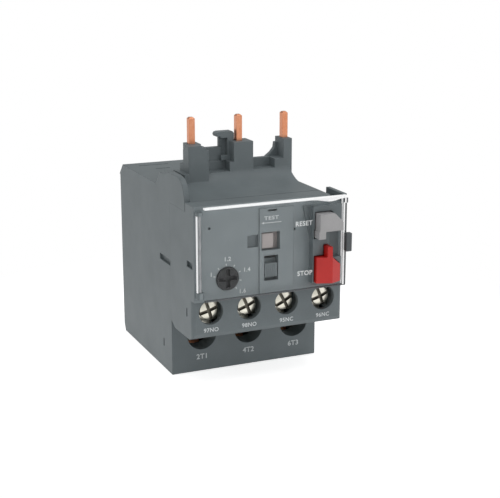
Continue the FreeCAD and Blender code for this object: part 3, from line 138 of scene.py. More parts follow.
def moulded(name, low, high, roughness, grain_mm, depth_mm, edge_mm):
    """Injection-moulded plastic: a spark-eroded grain, slight flow mottling and a soft sheen."""
    made, tree, shader, place = material(name)
    flow = add(tree, "ShaderNodeTexNoise", Vector=place, Scale=1 / (FLOW_MM * MM), Detail=3.0,
               Roughness=0.5).outputs["Fac"]
    grain = add(tree, "ShaderNodeTexNoise", Vector=place, Scale=1 / (grain_mm * MM), Detail=4.0,
                Roughness=0.6).outputs["Fac"]
    mottle = add(tree, "ShaderNodeMix", {"data_type": "FLOAT"}, i0=0.4, i2=flow, i3=grain).outputs[0]
    tone = add(tree, "ShaderNodeMapRange", Value=mottle, From_Min=0.5 - MOULDED_SPREAD,
               From_Max=0.5 + MOULDED_SPREAD).outputs[0]
    shaded(tree, shader, tone, low, high, grain, roughness - 0.07, roughness + 0.07)
    relief(tree, shader, grain, 0.5, depth_mm, edge_mm)
    feed(tree, shader, IOR=1.53)
    return made


def metal(name, low, high, roughness, scratch_mm, stretch, edge_mm):
    """Drawn, rolled or turned metal: fine scratches, long where stretch is small, and a little tarnish."""
    made, tree, shader, place = material(name)
    along = add(tree, "ShaderNodeMapping", Vector=place, Scale=stretch).outputs["Vector"]
    lines = add(tree, "ShaderNodeTexNoise", Vector=along, Scale=1 / (scratch_mm * MM), Detail=3.0,
                Roughness=0.6).outputs["Fac"]
    tarnish = add(tree, "ShaderNodeTexNoise", Vector=place, Scale=1 / (TARNISH_MM * MM), Detail=4.0,
                  Roughness=0.6).outputs["Fac"]
    mottle = add(tree, "ShaderNodeMix", {"data_type": "FLOAT"}, i0=0.5, i2=lines, i3=tarnish).outputs[0]
    tone = add(tree, "ShaderNodeMapRange", Value=mottle, From_Min=0.5 - METAL_SPREAD,
               From_Max=0.5 + METAL_SPREAD).outputs[0]
    shaded(tree, shader, tone, low, high, tarnish, roughness - 0.08, roughness + 0.1)
    relief(tree, shader, lines, 0.4, SCRATCH_DEPTH_MM, edge_mm)
    feed(tree, shader, Metallic=1.0)
    return made


def clear_moulding(name, low, high, smooth, rough, opacity=1.0, glow=0.0):
    """Clear moulded polycarbonate: glossy and lightly smudged."""
    made, tree, shader, place = material(name)
    smudge = add(tree, "ShaderNodeTexNoise", Vector=place, Scale=1 / (SMUDGE_MM * MM), Detail=4.0,
                 Roughness=0.6).outputs["Fac"]
    shaded(tree, shader, smudge, low, high, smudge, smooth, rough)
    # a glow above 0 paints a highlight as emission
    feed(tree, shader, IOR=1.58, Alpha=opacity, Emission_Strength=glow)
    return made


def clear_pane():
    """The door's pane, with a milky veil that is thicker over the panel than right of the hood's edge, where
    the thinner veil is painted shade that darkens the panel.
    """
    made = clear_moulding("clear_polycarbonate", "#e9eef0", "#f6f9fa", 0.03, 0.08)
    tree = made.node_tree
    place = tree.nodes["Texture Coordinate"].outputs["Object"]
    across = add(tree, "ShaderNodeSeparateXYZ", Vector=place).outputs["X"]
    # the veil thins right of the hood's edge: painted shade that darkens the panel there
    veil = add(tree, "ShaderNodeMapRange", Value=across, From_Min=HOOD_LEFT - 0.4 * MM, From_Max=HOOD_LEFT,
               To_Min=0.015, To_Max=0.006).outputs[0]
    feed(tree, tree.nodes["Principled BSDF"], Alpha=veil)
    return made


def pad_print(name, low, high):
    """Pad-printed ink: flat and slightly uneven in its cover."""
    made, tree, shader, place = material(name)
    cover = add(tree, "ShaderNodeTexNoise", Vector=place, Scale=1 / (INK_MM * MM), Detail=3.0,
                Roughness=0.6).outputs["Fac"]
    tint = add(tree, "ShaderNodeMix", {"data_type": "RGBA"}, i0=cover, i6=linear(low), i7=linear(high))
    feed(tree, shader, Base_Color=tint.outputs[2], Roughness=0.6)
    return made


# glass-filled polyamide: the neutral blue-grey, satin body of the relay
HOUSING = moulded("glass_filled_polyamide_grey", "#626b6e", "#6e777a",
                  roughness=0.52, grain_mm=0.25, depth_mm=0.02, edge_mm=0.3)
# the same polyamide from a finely blasted mould: the control panel, which looks lighter
PANEL_GREY = moulded("glass_filled_polyamide_fine", "#7d8689", "#889194",
                     roughness=0.55, grain_mm=0.15, depth_mm=0.01, edge_mm=0.3)
# charcoal polyamide: the finger grip on the cover, darker than the housing
GRIP = moulded("polyamide_charcoal", "#4a4f52", "#5a5f62",
               roughness=0.5, grain_mm=0.25, depth_mm=0.02, edge_mm=0.2)
# near-black acetal: the dial, dull and darker than everything round it
DIAL = moulded("acetal_dark_grey", "#0e1112", "#181b1d",
               roughness=0.55, grain_mm=0.3, depth_mm=0.01, edge_mm=0.2)
# light grey ABS: the reset button's pale satin cap
RESET = moulded("abs_light_grey", "#9f9e9f", "#b4b3b4",
                roughness=0.38, grain_mm=0.3, depth_mm=0.008, edge_mm=0.3)
# signal red ABS: the stop button, the one strong colour
STOP = moulded("abs_signal_red", "#bd1813", "#d2261f",
               roughness=0.36, grain_mm=0.3, depth_mm=0.008, edge_mm=0.3)
# warm off-white acetal: the small flag in the test window
INDICATOR = moulded("acetal_off_white", "#a8a09e", "#b8b0ae",
                    roughness=0.45, grain_mm=0.3, depth_mm=0.008, edge_mm=0.2)
# mid-grey acetal: the ribbed mode slider
SLIDER = moulded("acetal_grey", "#737d80", "#81898c",
                 roughness=0.45, grain_mm=0.3, depth_mm=0.008, edge_mm=0.15)
# uncoloured polyamide: the ivory working parts inside
INNER = moulded("polyamide_natural", "#cfcabb", "#e0dccf",
                roughness=0.5, grain_mm=0.3, depth_mm=0.01, edge_mm=0.2)
# bare drawn copper: salmon pins with scratches along their length
COPPER = metal("drawn_copper", "#cf8662", "#e6a583",
               roughness=0.36, scratch_mm=0.12, stretch=(1, 1, 0.08), edge_mm=0.15)
# nickel plate: the warm white of the screws and clamps
NICKEL = metal("nickel_plated_steel", "#c9c6b8", "#efece0",
               roughness=0.3, scratch_mm=0.15, stretch=(1, 0.2, 1), edge_mm=0.12)
# steel with painted shade: the darker rim, recess and thread of each screw, where shade falls
SCREW_SHADE = metal("steel_painted_shade", "#4d4a43", "#6e6a61",
              roughness=0.45, scratch_mm=0.15, stretch=(1, 0.2, 1), edge_mm=0.1)
# rolled bimetal: dull grey strips with lengthwise rolling lines
BIMETAL = metal("rolled_bimetal", "#7f8080", "#9ea0a1",
                roughness=0.4, scratch_mm=0.15, stretch=(1, 1, 0.1), edge_mm=0.1)
# resistance alloy: brownish, heat-tinted heater ribbons
HEATER = metal("resistance_ribbon", "#6d6455", "#928879",
               roughness=0.45, scratch_mm=0.12, stretch=(0.2, 0.2, 1), edge_mm=0.1)
# silvered bronze: the pale gold contact blades
CONTACT = metal("silvered_bronze", "#b59a63", "#d8c294",
                roughness=0.35, scratch_mm=0.12, stretch=(1, 1, 0.2), edge_mm=0.1)
# spring steel wire: the grey drawn wire of springs and hinge pin
SPRING = metal("spring_steel_wire", "#85878a", "#a9abad",
               roughness=0.3, scratch_mm=0.12, stretch=(1, 1, 1), edge_mm=0.05)
# clear polycarbonate: the pane, almost invisible but for its gloss and a faint veil
CLEAR = clear_pane()
# edge of the pane: a painted highlight, nearly opaque white with a faint glow, that shows as a white line
PANE_EDGE_HIGHLIGHT = clear_moulding("polycarbonate_edge_painted_highlight", "#f4f6f7", "#ffffff", 0.1, 0.2,
                            opacity=0.85, glow=0.3)
# painted shade on the pane: dark grey over its turned corner at the free edge and along its foot
PANE_EDGE_SHADE = clear_moulding("polycarbonate_edge_painted_shade", "#5a5d60", "#6b6e71", 0.1, 0.2, opacity=0.85)
# white pad print: the two words on the door
INK = pad_print("white_pad_print", "#dfe3e4", "#f4f6f6")
# thinner, worn print: the marks on the housing
FAINT_INK = pad_print("worn_pad_print", "#c2c8ca", "#e0e4e5")

FINISHES = {
    "housing_grey": HOUSING, "clear": CLEAR, "dark_plastic": GRIP, "dial_grey": DIAL, "reset_grey": RESET,
    "stop_red": STOP, "indicator_white": INDICATOR, "slider_grey": SLIDER, "inner_white": INNER,
    "copper": COPPER, "screw_nickel": NICKEL, "bimetal": BIMETAL, "heater": HEATER, "contact": CONTACT,
    "spring_steel": SPRING}
SLOT_OF = {part["node"]: part["material_slot"] for part in frame["record"]["subparts"]}
BODY_OF = {node: body for body, nodes in frame["record"]["behaviour"]["bodies"].items() for node in nodes}

for node, obj in frame["nodes"].items():
    obj.data.materials.clear()
    obj.data.materials.append(FINISHES[SLOT_OF[node]])


# ---------------------------------------------------------------- making pieces
SMOOTH_BELOW = math.radians(32)
FLAT_BELOW = math.radians(0.4)
DOUBLES_WITHIN = 0.0005 * MM


def shown(name, data):
    """A new object in the scene."""
    obj = bpy.data.objects.new(name, data)
    scene.collection.objects.link(obj)
    return obj


def piece(name, mesh, body, slot, *stands_for):
    """A finished mesh as a piece of the relay: it rides on a body and may stand for CAD nodes."""
    obj = shown(name, mesh)
    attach(obj, body)
    if stands_for:
        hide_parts(*stands_for)


def flattened(obj):
    """The evaluated object as a plain mesh; the object itself is removed."""
    mesh = bpy.data.meshes.new_from_object(obj.evaluated_get(bpy.context.evaluated_depsgraph_get()))
    bpy.data.objects.remove(obj)
    return mesh


def merged(node):
    """A copy of the CAD node's mesh to edit, with its doubles merged and its flat faces joined."""
    shell = bmesh.new()
    shell.from_mesh(frame["nodes"][node].data)
    bmesh.ops.remove_doubles(shell, verts=shell.verts, dist=DOUBLES_WITHIN)
    bmesh.ops.dissolve_limit(shell, angle_limit=FLAT_BELOW, verts=shell.verts, edges=shell.edges)
    return shell


def plain_mesh(name, shell, *finishes):
    """The edited copy as a plain mesh with its finishes."""
    mesh = bpy.data.meshes.new(name)
    shell.to_mesh(mesh)
    shell.free()
    for finish in finishes:
        mesh.materials.append(finish)
    return mesh


def smoothed(mesh):
    """The same mesh, shaded smooth but for its sharp edges."""
    mesh.shade_smooth()
    mesh.set_sharp_from_angle(angle=SMOOTH_BELOW)
    return mesh


# ---------------------------------------------------------------- moulded pieces
def eased(obj, width_mm):
    """The object's mesh with small rounds on its sharp edges, and flat faces that shade flat."""
    ease = obj.modifiers.new("ease", "BEVEL")
    ease.width = width_mm * MM
    ease.segments = 2
    ease.limit_method = "ANGLE"
    ease.angle_limit = SMOOTH_BELOW
    rounded = shown("rounded", smoothed(flattened(obj)))
    level = rounded.modifiers.new("level", "WEIGHTED_NORMAL")
    level.keep_sharp = True
    return flattened(rounded)


def softened(node, width_mm, *finishes, second=None):
    """A moulded piece with its edges eased; second picks the faces that take the second finish."""
    mesh = plain_mesh(node + "_soft", merged(node), *(finishes or (FINISHES[SLOT_OF[node]],)))
    if second:
        for face in mesh.polygons:
            face.material_index = 1 if second(face) else 0
    piece(node + "_shell", eased(shown(node + "_soft", mesh), width_mm), BODY_OF[node], SLOT_OF[node], node)


def on_panel(face):
    """Whether a face is the flat front of the control panel, left of the buttons' hood."""
    spot = face.center
    faces_front = face.normal.y < -0.9 and spot.y < PANEL_FACE + 0.7 * MM
    return faces_front and spot.z > PANEL_FOOT and spot.x < HOOD_LEFT


softened("front_case", 0.2, HOUSING, PANEL_GREY, second=on_panel)
for node, width_mm in (
        ("rear_case", 0.25), ("reset_button", 0.3), ("stop_button", 0.3),
        ("setting_dial", 0.2), ("mode_slider", 0.08), ("test_slider", 0.15), ("cover_grip", 0.25)):
    softened(node, width_mm)


# ---------------------------------------------------------------- clear door
# widths of the bands of the pane that take painted highlights and painted shade
TOP_RIM = 0.5 * MM
FREE_RIM = 0.5 * MM
TURNED_EDGE = 0.55 * MM
FOOT_RIM = 0.25 * MM
BARREL_RIM = 0.35 * MM


def cover_door():
    """The clear door: a thin pane with painted highlights on its top edge, free edge and hinge side, and
    painted shade on its foot and turned corner.
    """
    shell = merged("clear_cover")
    low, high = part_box("clear_cover")
    lit_top = high[2] - TOP_RIM
    turn = high[0] - TURNED_EDGE
    lit_right = turn - FREE_RIM
    foot = low[2] + FOOT_RIM
    barrel = low[0] + BARREL_RIM
    up, right = (0, 0, 1), (1, 0, 0)
    for spot, normal in (((0, 0, lit_top), up), ((0, 0, foot), up), ((turn, 0, 0), right),
                         ((lit_right, 0, 0), right)):
        bmesh.ops.bisect_plane(shell, geom=shell.verts[:] + shell.edges[:] + shell.faces[:], plane_co=spot,
                               plane_no=normal)
    for face in shell.faces:
        spot = face.calc_center_median()
        # the foot and the turned corner take painted shade; the top edge, the free edge and the hinge side
        # take painted highlights
        if spot.z < foot or (spot.x > turn and spot.z < lit_top):
            face.material_index = 2
        elif spot.z > lit_top or spot.x > lit_right or (spot.x < barrel and face.normal.x < -0.75):
            face.material_index = 1
    mesh = plain_mesh("cover_door", shell, CLEAR, PANE_EDGE_HIGHLIGHT, PANE_EDGE_SHADE)
    piece("cover_door", mesh, "cover", "clear", "clear_cover")


cover_door()


# ---------------------------------------------------------------- geometry trees
def sockets(tree, names):
    """Gives a tree its output, a number input for each name and a Finish, and returns the inputs' sockets."""
    tree.interface.new_socket("Geometry", in_out="OUTPUT", socket_type="NodeSocketGeometry")
    for name in names:
        tree.interface.new_socket(name, in_out="INPUT", socket_type="NodeSocketFloat")
    tree.interface.new_socket("Finish", in_out="INPUT", socket_type="NodeSocketMaterial")
    return add(tree, "NodeGroupInput").outputs


def dressed(tree, shape, size):
    """Ends a tree: the shape becomes real geometry in the chosen finish."""
    real = add(tree, "GeometryNodeRealizeInstances", Geometry=shape).outputs[0]
    done = add(tree, "GeometryNodeSetMaterial", Geometry=real, Material=size["Finish"]).outputs[0]
    add(tree, "NodeGroupOutput", Geometry=done)


def grown(name, tree, finish, sizes):
    """The plain mesh that a geometry tree makes with these sizes."""
    obj = shown(name, bpy.data.meshes.new(name))
    maker = obj.modifiers.new(name, "NODES")
    maker.node_group = tree
    wanted = {**sizes, "Finish": finish}
    for item in tree.interface.items_tree:
        if item.in_out == "INPUT":
            maker[item.identifier] = wanted[item.name]
    return smoothed(flattened(obj))


# ---------------------------------------------------------------- screws
SCREW_SIZES = ("Head Radius", "Head Length", "Dome Height", "Recess Depth", "Slot Width", "Slot Turn",
               "Shank Radius", "Shank Length", "Thread Pitch", "X", "Y", "Z")
HEAD_SIDES = 40
SHANK_SIDES = 24
POINTS_IN_A_TURN = 18
# shares of the head's radius, of the recess's depth, of the shank's radius and of the pitch
SLOT_REACH = 2.4
SLOT_CUTTER_DEPTH = 2.0
THREAD_CORE = 0.94
RIDGE = 0.4


def domed_head(tree, size):
    """A short cylinder whose upper end swells to a shallow dome."""
    side = add(tree, "ShaderNodeMath", {"operation": "SUBTRACT"}, i0=size["Head Length"],
               i1=size["Dome Height"]).outputs[0]
    half = add(tree, "ShaderNodeMath", {"operation": "MULTIPLY"}, i0=side, i1=0.5).outputs[0]
    lift = add(tree, "ShaderNodeCombineXYZ", Z=half).outputs[0]
    head = add(tree, "GeometryNodeMeshCylinder", Vertices=HEAD_SIDES, Fill_Segments=8,
               Radius=size["Head Radius"], Depth=side).outputs[0]
    head = add(tree, "GeometryNodeTransform", Geometry=head, Translation=lift).outputs[0]
    spot = add(tree, "GeometryNodeInputPosition").outputs[0]
    axes = add(tree, "ShaderNodeSeparateXYZ", Vector=spot).outputs
    flat = add(tree, "ShaderNodeCombineXYZ", X=axes["X"], Y=axes["Y"]).outputs[0]
    reach = add(tree, "ShaderNodeVectorMath", {"operation": "LENGTH"}, i0=flat).outputs["Value"]
    share = add(tree, "ShaderNodeMath", {"operation": "DIVIDE"}, i0=reach, i1=size["Head Radius"]).outputs[0]
    fall = add(tree, "ShaderNodeMath", {"operation": "MULTIPLY"}, i0=share, i1=share).outputs[0]
    bowl = add(tree, "ShaderNodeMath", {"operation": "SUBTRACT"}, i0=1.0, i1=fall).outputs[0]
    rise = add(tree, "ShaderNodeMath", {"operation": "MULTIPLY"}, i0=bowl, i1=size["Dome Height"]).outputs[0]
    raised = add(tree, "ShaderNodeCombineXYZ", Z=rise).outputs[0]
    upper = add(tree, "ShaderNodeMath", {"operation": "GREATER_THAN"}, i0=axes["Z"], i1=half).outputs[0]
    return add(tree, "GeometryNodeSetPosition", Geometry=head, Selection=upper, Offset=raised).outputs[0]


def crossed(tree, size, head):
    """The head with a cross recess cut into its top."""
    broad = add(tree, "ShaderNodeMath", {"operation": "MULTIPLY"}, i0=size["Head Radius"],
                i1=SLOT_REACH).outputs[0]
    deep = add(tree, "ShaderNodeMath", {"operation": "MULTIPLY"}, i0=size["Recess Depth"],
               i1=SLOT_CUTTER_DEPTH).outputs[0]
    top = add(tree, "ShaderNodeCombineXYZ", Z=size["Head Length"]).outputs[0]
    turned = add(tree, "ShaderNodeCombineXYZ", Z=size["Slot Turn"]).outputs[0]
    carve = add(tree, "GeometryNodeMeshBoolean", {"operation": "DIFFERENCE", "solver": "EXACT"}, i0=head)
    for along, across in ((broad, size["Slot Width"]), (size["Slot Width"], broad)):
        span = add(tree, "ShaderNodeCombineXYZ", X=along, Y=across, Z=deep).outputs[0]
        bar = add(tree, "GeometryNodeMeshCube", Size=span).outputs[0]
        bar = add(tree, "GeometryNodeTransform", Geometry=bar, Translation=top, Rotation=turned).outputs[0]
        feed(tree, carve, i1=bar)
    return carve.outputs[0]


def shank(tree, size):
    """The plain stem of the screw, from its head down."""
    stem = add(tree, "GeometryNodeMeshCylinder", Vertices=SHANK_SIDES, Radius=size["Shank Radius"],
               Depth=size["Shank Length"]).outputs[0]
    half = add(tree, "ShaderNodeMath", {"operation": "MULTIPLY"}, i0=size["Shank Length"], i1=-0.5).outputs[0]
    down = add(tree, "ShaderNodeCombineXYZ", Z=half).outputs[0]
    return add(tree, "GeometryNodeTransform", Geometry=stem, Translation=down).outputs[0]


def thread(tree, size):
    """A small ridge wound round the stem, sunk a little into it."""
    turns = add(tree, "ShaderNodeMath", {"operation": "DIVIDE"}, i0=size["Shank Length"],
                i1=size["Thread Pitch"]).outputs[0]
    core = add(tree, "ShaderNodeMath", {"operation": "MULTIPLY"}, i0=size["Shank Radius"],
               i1=THREAD_CORE).outputs[0]
    winding = add(tree, "GeometryNodeCurveSpiral", Resolution=POINTS_IN_A_TURN, Rotations=turns,
                  Start_Radius=core, End_Radius=core, Height=size["Shank Length"]).outputs[0]
    tip = add(tree, "ShaderNodeMath", {"operation": "MULTIPLY"}, i0=size["Shank Length"], i1=-1.0).outputs[0]
    down = add(tree, "ShaderNodeCombineXYZ", Z=tip).outputs[0]
    winding = add(tree, "GeometryNodeTransform", Geometry=winding, Translation=down).outputs[0]
    ridge = add(tree, "ShaderNodeMath", {"operation": "MULTIPLY"}, i0=size["Thread Pitch"],
                i1=RIDGE).outputs[0]
    profile = add(tree, "GeometryNodeCurvePrimitiveCircle", Resolution=4, Radius=ridge).outputs[0]
    return add(tree, "GeometryNodeCurveToMesh", Curve=winding, Profile_Curve=profile,
               Fill_Caps=True).outputs[0]


def screw_tree():
    """A slightly domed head with a cross recess, and a shank with a wound thread, its head to the front."""
    tree = bpy.data.node_groups.new("terminal_screw", "GeometryNodeTree")
    size = sockets(tree, SCREW_SIZES)
    whole = add(tree, "GeometryNodeJoinGeometry")
    for part in (crossed(tree, size, domed_head(tree, size)), shank(tree, size), thread(tree, size)):
        feed(tree, whole, i0=part)
    seat = add(tree, "ShaderNodeCombineXYZ", X=size["X"], Y=size["Y"], Z=size["Z"]).outputs[0]
    placed = add(tree, "GeometryNodeTransform", Geometry=whole.outputs[0], Translation=seat,
                 Rotation=(math.pi / 2, 0.0, 0.0)).outputs[0]
    dressed(tree, placed, size)
    return tree


SCREW = screw_tree()


def screw(name, slot_degrees, head_radius, head_length, shank_radius, pitch):
    """One terminal screw in place of its plain CAD solid, with a bright crown and painted shade on the rest
    of its body.
    """
    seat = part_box(name)[0][1] + head_length
    x, _, z = middle(name)
    mesh = grown(name + "_turned", SCREW, NICKEL, {
        "Head Radius": head_radius, "Head Length": head_length, "Dome Height": 0.15 * head_length,
        "Recess Depth": 0.4 * head_length, "Slot Width": 0.36 * head_radius,
        "Slot Turn": math.radians(slot_degrees), "Shank Radius": shank_radius,
        "Shank Length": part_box(name)[1][1] - seat, "Thread Pitch": pitch, "X": x, "Y": seat, "Z": z})
    mesh.materials.clear()
    for finish in (NICKEL, SCREW_SHADE):
        mesh.materials.append(finish)
    # faces off the crown take the painted shade
    for face in mesh.polygons:
        crown = face.normal.y < -0.5 and face.center.y < seat - 0.75 * head_length
        face.material_index = 0 if crown else 1
    piece(name + "_turned", mesh, BODY_OF[name], "screw_nickel", name)


# M4 screws on the poles and M3.5 screws on the auxiliary row, each left at its own turn
for k, slot_degrees in zip(POLES, (10, 35, 60)):
    screw("power_screw_%d" % k, slot_degrees,
          head_radius=3.6 * MM, head_length=2.4 * MM, shank_radius=1.8 * MM, pitch=0.7 * MM)
for k, slot_degrees in zip(AUX, (17, 22, 28, 20)):
    screw("aux_screw_%d" % k, slot_degrees,
          head_radius=2.55 * MM, head_length=2.0 * MM, shank_radius=1.55 * MM, pitch=0.6 * MM)


# ---------------------------------------------------------------- printed marks
PRINT_LIFT = 0.02 * MM
CAPITAL_SHARE = 0.72
STROKE_GAIN = 0.035
LETTER_SPACING = 1.08
# the record's pale slot
PRINT_SLOT = "reset_grey"
UPRIGHT = Matrix.Rotation(math.pi / 2, 4, "X")


def words(text, capital_mm, x, y, z, width=1.0):
    """A line of plain lettering as a mesh, centred at x and z, on a face that looks to the front."""
    curve = bpy.data.curves.new(text, "FONT")
    curve.body = text
    curve.size = capital_mm * MM / CAPITAL_SHARE
    curve.space_character = LETTER_SPACING
    curve.align_x = "CENTER"
    curve.align_y = "CENTER"
    curve.resolution_u = 3
    curve.offset = STROKE_GAIN * capital_mm * MM
    mesh = flattened(shown(text, curve))
    mesh.transform(Matrix.Translation((x, y - PRINT_LIFT, z)) @ UPRIGHT @ Matrix.Diagonal((width, 1, 1, 1)))
    return mesh


def printed(name, meshes, body, ink):
    """Several marks joined into one print."""
    sheet = bmesh.new()
    for mesh in meshes:
        sheet.from_mesh(mesh)
        bpy.data.meshes.remove(mesh)
    piece(name, plain_mesh(name, sheet, ink), body, PRINT_SLOT)


TICK_SIZES = ("Count", "First Angle", "Step Angle", "Ring Radius", "Length", "Width", "X", "Y", "Z")


def tick_tree():
    """Short bars at even angles round a centre, on a face that looks to the front."""
    tree = bpy.data.node_groups.new("dial_ticks", "GeometryNodeTree")
    size = sockets(tree, TICK_SIZES)
    row = add(tree, "GeometryNodeMeshLine", Count=size["Count"]).outputs[0]
    number = add(tree, "GeometryNodeInputIndex").outputs[0]
    turn = add(tree, "ShaderNodeMath", {"operation": "MULTIPLY_ADD"}, i0=number, i1=size["Step Angle"],
               i2=size["First Angle"]).outputs[0]
    spots = []
    for operation in ("COSINE", "SINE"):
        share = add(tree, "ShaderNodeMath", {"operation": operation}, i0=turn).outputs[0]
        spots.append(add(tree, "ShaderNodeMath", {"operation": "MULTIPLY"}, i0=share,
                         i1=size["Ring Radius"]).outputs[0])
    ring = add(tree, "ShaderNodeCombineXYZ", X=spots[0], Z=spots[1]).outputs[0]
    row = add(tree, "GeometryNodeSetPosition", Geometry=row, Position=ring).outputs[0]
    span = add(tree, "ShaderNodeCombineXYZ", X=size["Length"], Y=PRINT_LIFT, Z=size["Width"]).outputs[0]
    bar = add(tree, "GeometryNodeMeshCube", Size=span).outputs[0]
    back = add(tree, "ShaderNodeMath", {"operation": "MULTIPLY"}, i0=turn, i1=-1.0).outputs[0]
    aim = add(tree, "ShaderNodeCombineXYZ", Y=back).outputs[0]
    bars = add(tree, "GeometryNodeInstanceOnPoints", Points=row, Instance=bar, Rotation=aim).outputs[0]
    centre = add(tree, "ShaderNodeCombineXYZ", X=size["X"], Y=size["Y"], Z=size["Z"]).outputs[0]
    dressed(tree, add(tree, "GeometryNodeTransform", Geometry=bars, Translation=centre).outputs[0], size)
    return tree


def dial_scale():
    """Seven ticks and four plain numbers round the dial."""
    ticks = grown("dial_ticks", tick_tree(), FAINT_INK, {
        "Count": 7, "First Angle": math.radians(167), "Step Angle": math.radians(-36),
        "Ring Radius": 3.85 * MM, "Length": 0.55 * MM, "Width": 0.24 * MM,
        "X": DIAL_X, "Y": PANEL_FACE, "Z": DIAL_Z})
    piece("dial_ticks", ticks, "housing", PRINT_SLOT)
    numbers = []
    for text, degrees, reach_mm in (("1", 162, 4.9), ("1.2", 90, 5.3), ("1.4", 18, 5.9), ("1.6", -43, 5.9)):
        turn = math.radians(degrees)
        numbers.append(words(text, 1.15, DIAL_X + reach_mm * MM * math.cos(turn), PANEL_FACE,
                             DIAL_Z + reach_mm * MM * math.sin(turn)))
    printed("dial_numbers", numbers, "housing", FAINT_INK)


def test_arrow():
    """A thin arrow to the left, between the test window and its word."""
    z = TEST_WINDOW_TOP + 1.9 * MM
    tip, end = COLUMN_X - 2.95 * MM, COLUMN_X + 2.95 * MM
    neck = tip + 0.8 * MM
    thin, wide = 0.09 * MM, 0.32 * MM
    outline = [(tip, z), (neck, z - wide), (neck, z - thin), (end, z - thin), (end, z + thin),
               (neck, z + thin), (neck, z + wide)]
    mesh = bpy.data.meshes.new("arrow")
    mesh.from_pydata([(x, COLUMN_FACE - PRINT_LIFT, z) for x, z in outline], [],
                     [tuple(range(len(outline)))])
    return mesh


def terminal_numbers(name, screws, texts, capital_mm, face, drop_mm):
    """A number under each screw of a row."""
    numbers = []
    for k, text in enumerate(texts, 1):
        x, _, z = middle("%s_%d" % (screws, k))
        numbers.append(words(text, capital_mm, x, face, z - drop_mm * MM))
    printed(name, numbers, "housing", FAINT_INK)


def labels():
    """The plain words and terminal numbers that such a relay carries."""
    dial_scale()
    test = words("TEST", 1.0, COLUMN_X + 0.05 * MM, COLUMN_FACE, TEST_WINDOW_TOP + 3.15 * MM, width=1.35)
    printed("test_mark", [test, test_arrow()], "housing", FAINT_INK)
    button_words = []
    for text, node, left_mm, rise_mm in (
            ("RESET", "reset_button", 3.3, 0.85), ("STOP", "stop_button", 2.1, -2.15)):
        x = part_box(node)[0][0] - left_mm * MM
        button_words.append(words(text, 1.3, x, COVER_FACE, middle(node)[2] + rise_mm * MM))
    printed("button_words", button_words, "cover", INK)
    terminal_numbers("auxiliary_numbers", "aux_screw", ("97NO", "98NO", "95NC", "96NC"), 1.15, AUX_FACE, 5.05)
    terminal_numbers("power_numbers", "power_screw", ("2T1", "4T2", "6T3"), 1.5, SILL_FACE, 6.6)


labels()


# ---------------------------------------------------------------- stage
WHITE = linear("#ffffff")
FLOOR_HALF = 3.0
FLOOR_DROP = 0.2 * MM
FLOOR_LIFT = 0.7
SHADOW_REACH = 45 * MM
WHITE_REACH = 120 * MM
WORLD_LIGHT = 0.48
LAMP_AIM = (0, 0, 0.03)
# each lamp's place and size in metres, and its power in watts
LAMPS = {
    "key": ((-0.6, -0.12, 0.35), 0.4, 0.35),
    "front": ((0.45, -0.45, 0.2), 0.4, 0.7),
    "top": ((0.0, -0.1, 0.7), 0.6, 1.5)}
CAMERA_PLACE = Vector((-127.8, -304.8, 119.6)) * MM
CAMERA_AIM = Vector((8.11, 4.25, 30.04)) * MM
CAMERA_LENS_MM = 84.14
SENSOR_MM = 36.0


def aimed(obj, place, target):
    """Puts a lamp or camera at its place and turns it to its target."""
    obj.location = place
    obj.rotation_euler = (Vector(target) - Vector(place)).to_track_quat("-Z", "Y").to_euler()


def rays(tree, *kinds):
    """1 for rays of these kinds and 0 for all others."""
    path = add(tree, "ShaderNodeLightPath").outputs
    share = path[kinds[0]]
    for kind in kinds[1:]:
        share = add(tree, "ShaderNodeMath", {"operation": "MAXIMUM"}, i0=share, i1=path[kind]).outputs[0]
    return share


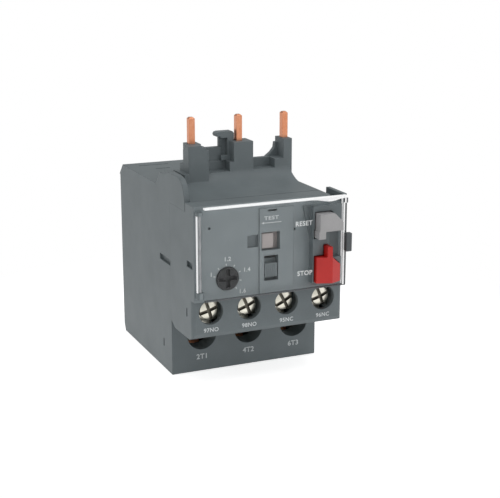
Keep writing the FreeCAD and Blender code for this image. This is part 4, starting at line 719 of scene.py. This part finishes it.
def floor():
    """A pale floor that keeps the object's shadow and turns to plain white further out."""
    made, tree, shader, place = material("pale_floor")
    feed(tree, shader, Base_Color=linear("#f2f2f2"), Roughness=0.9)
    seen = rays(tree, "Is Camera Ray", "Is Transmission Ray", "Is Glossy Ray")
    lift = add(tree, "ShaderNodeMath", {"operation": "MULTIPLY"}, i0=seen, i1=FLOOR_LIFT).outputs[0]
    glow = add(tree, "ShaderNodeEmission", Color=WHITE, Strength=lift).outputs[0]
    near = add(tree, "ShaderNodeAddShader", i0=shader.outputs[0], i1=glow).outputs[0]
    white = add(tree, "ShaderNodeEmission", Color=WHITE, Strength=1.0).outputs[0]
    reach = add(tree, "ShaderNodeVectorMath", {"operation": "LENGTH"}, i0=place).outputs["Value"]
    fade = add(tree, "ShaderNodeMapRange", {"interpolation_type": "SMOOTHSTEP"}, Value=reach,
               From_Min=SHADOW_REACH, From_Max=WHITE_REACH).outputs[0]
    far = add(tree, "ShaderNodeMath", {"operation": "MULTIPLY"}, i0=fade, i1=seen).outputs[0]
    both = add(tree, "ShaderNodeMixShader", Fac=far, i1=near, i2=white).outputs[0]
    feed(tree, tree.nodes["Material Output"], Surface=both)
    mesh = bpy.data.meshes.new("floor")
    corners = ((-1, -1), (1, -1), (1, 1), (-1, 1))
    mesh.from_pydata([(x * FLOOR_HALF, y * FLOOR_HALF, -FLOOR_DROP) for x, y in corners], [], [(0, 1, 2, 3)])
    mesh.materials.append(made)
    shown("floor", mesh)


def lamp(name, place, size, power):
    """A soft square lamp aimed at the middle of the relay."""
    data = bpy.data.lights.new(name, "AREA")
    data.shape = "SQUARE"
    data.size = size
    data.energy = power
    aimed(shown(name, data), place, LAMP_AIM)


def studio():
    """Even surroundings that are seen as white, with soft lamps on the left, in front and above."""
    world = bpy.data.worlds.new("studio")
    scene.world = world
    world.use_nodes = True
    tree = world.node_tree
    tree.nodes.clear()
    dim = add(tree, "ShaderNodeBackground", Color=WHITE, Strength=WORLD_LIGHT).outputs[0]
    white = add(tree, "ShaderNodeBackground", Color=WHITE, Strength=1.0).outputs[0]
    seen = rays(tree, "Is Camera Ray", "Is Transmission Ray")
    mix = add(tree, "ShaderNodeMixShader", Fac=seen, i1=dim, i2=white).outputs[0]
    add(tree, "ShaderNodeOutputWorld", Surface=mix)
    for name, (place, size, power) in LAMPS.items():
        lamp(name, place, size, power)


def camera():
    """The camera, in front of the relay, to its left and above."""
    data = bpy.data.cameras.new("camera")
    data.sensor_width = SENSOR_MM
    data.lens = CAMERA_LENS_MM
    data.clip_start = 10 * MM
    scene.camera = shown("camera", data)
    aimed(scene.camera, CAMERA_PLACE, CAMERA_AIM)


floor()
studio()
camera()
scene.view_settings.view_transform = "Standard"
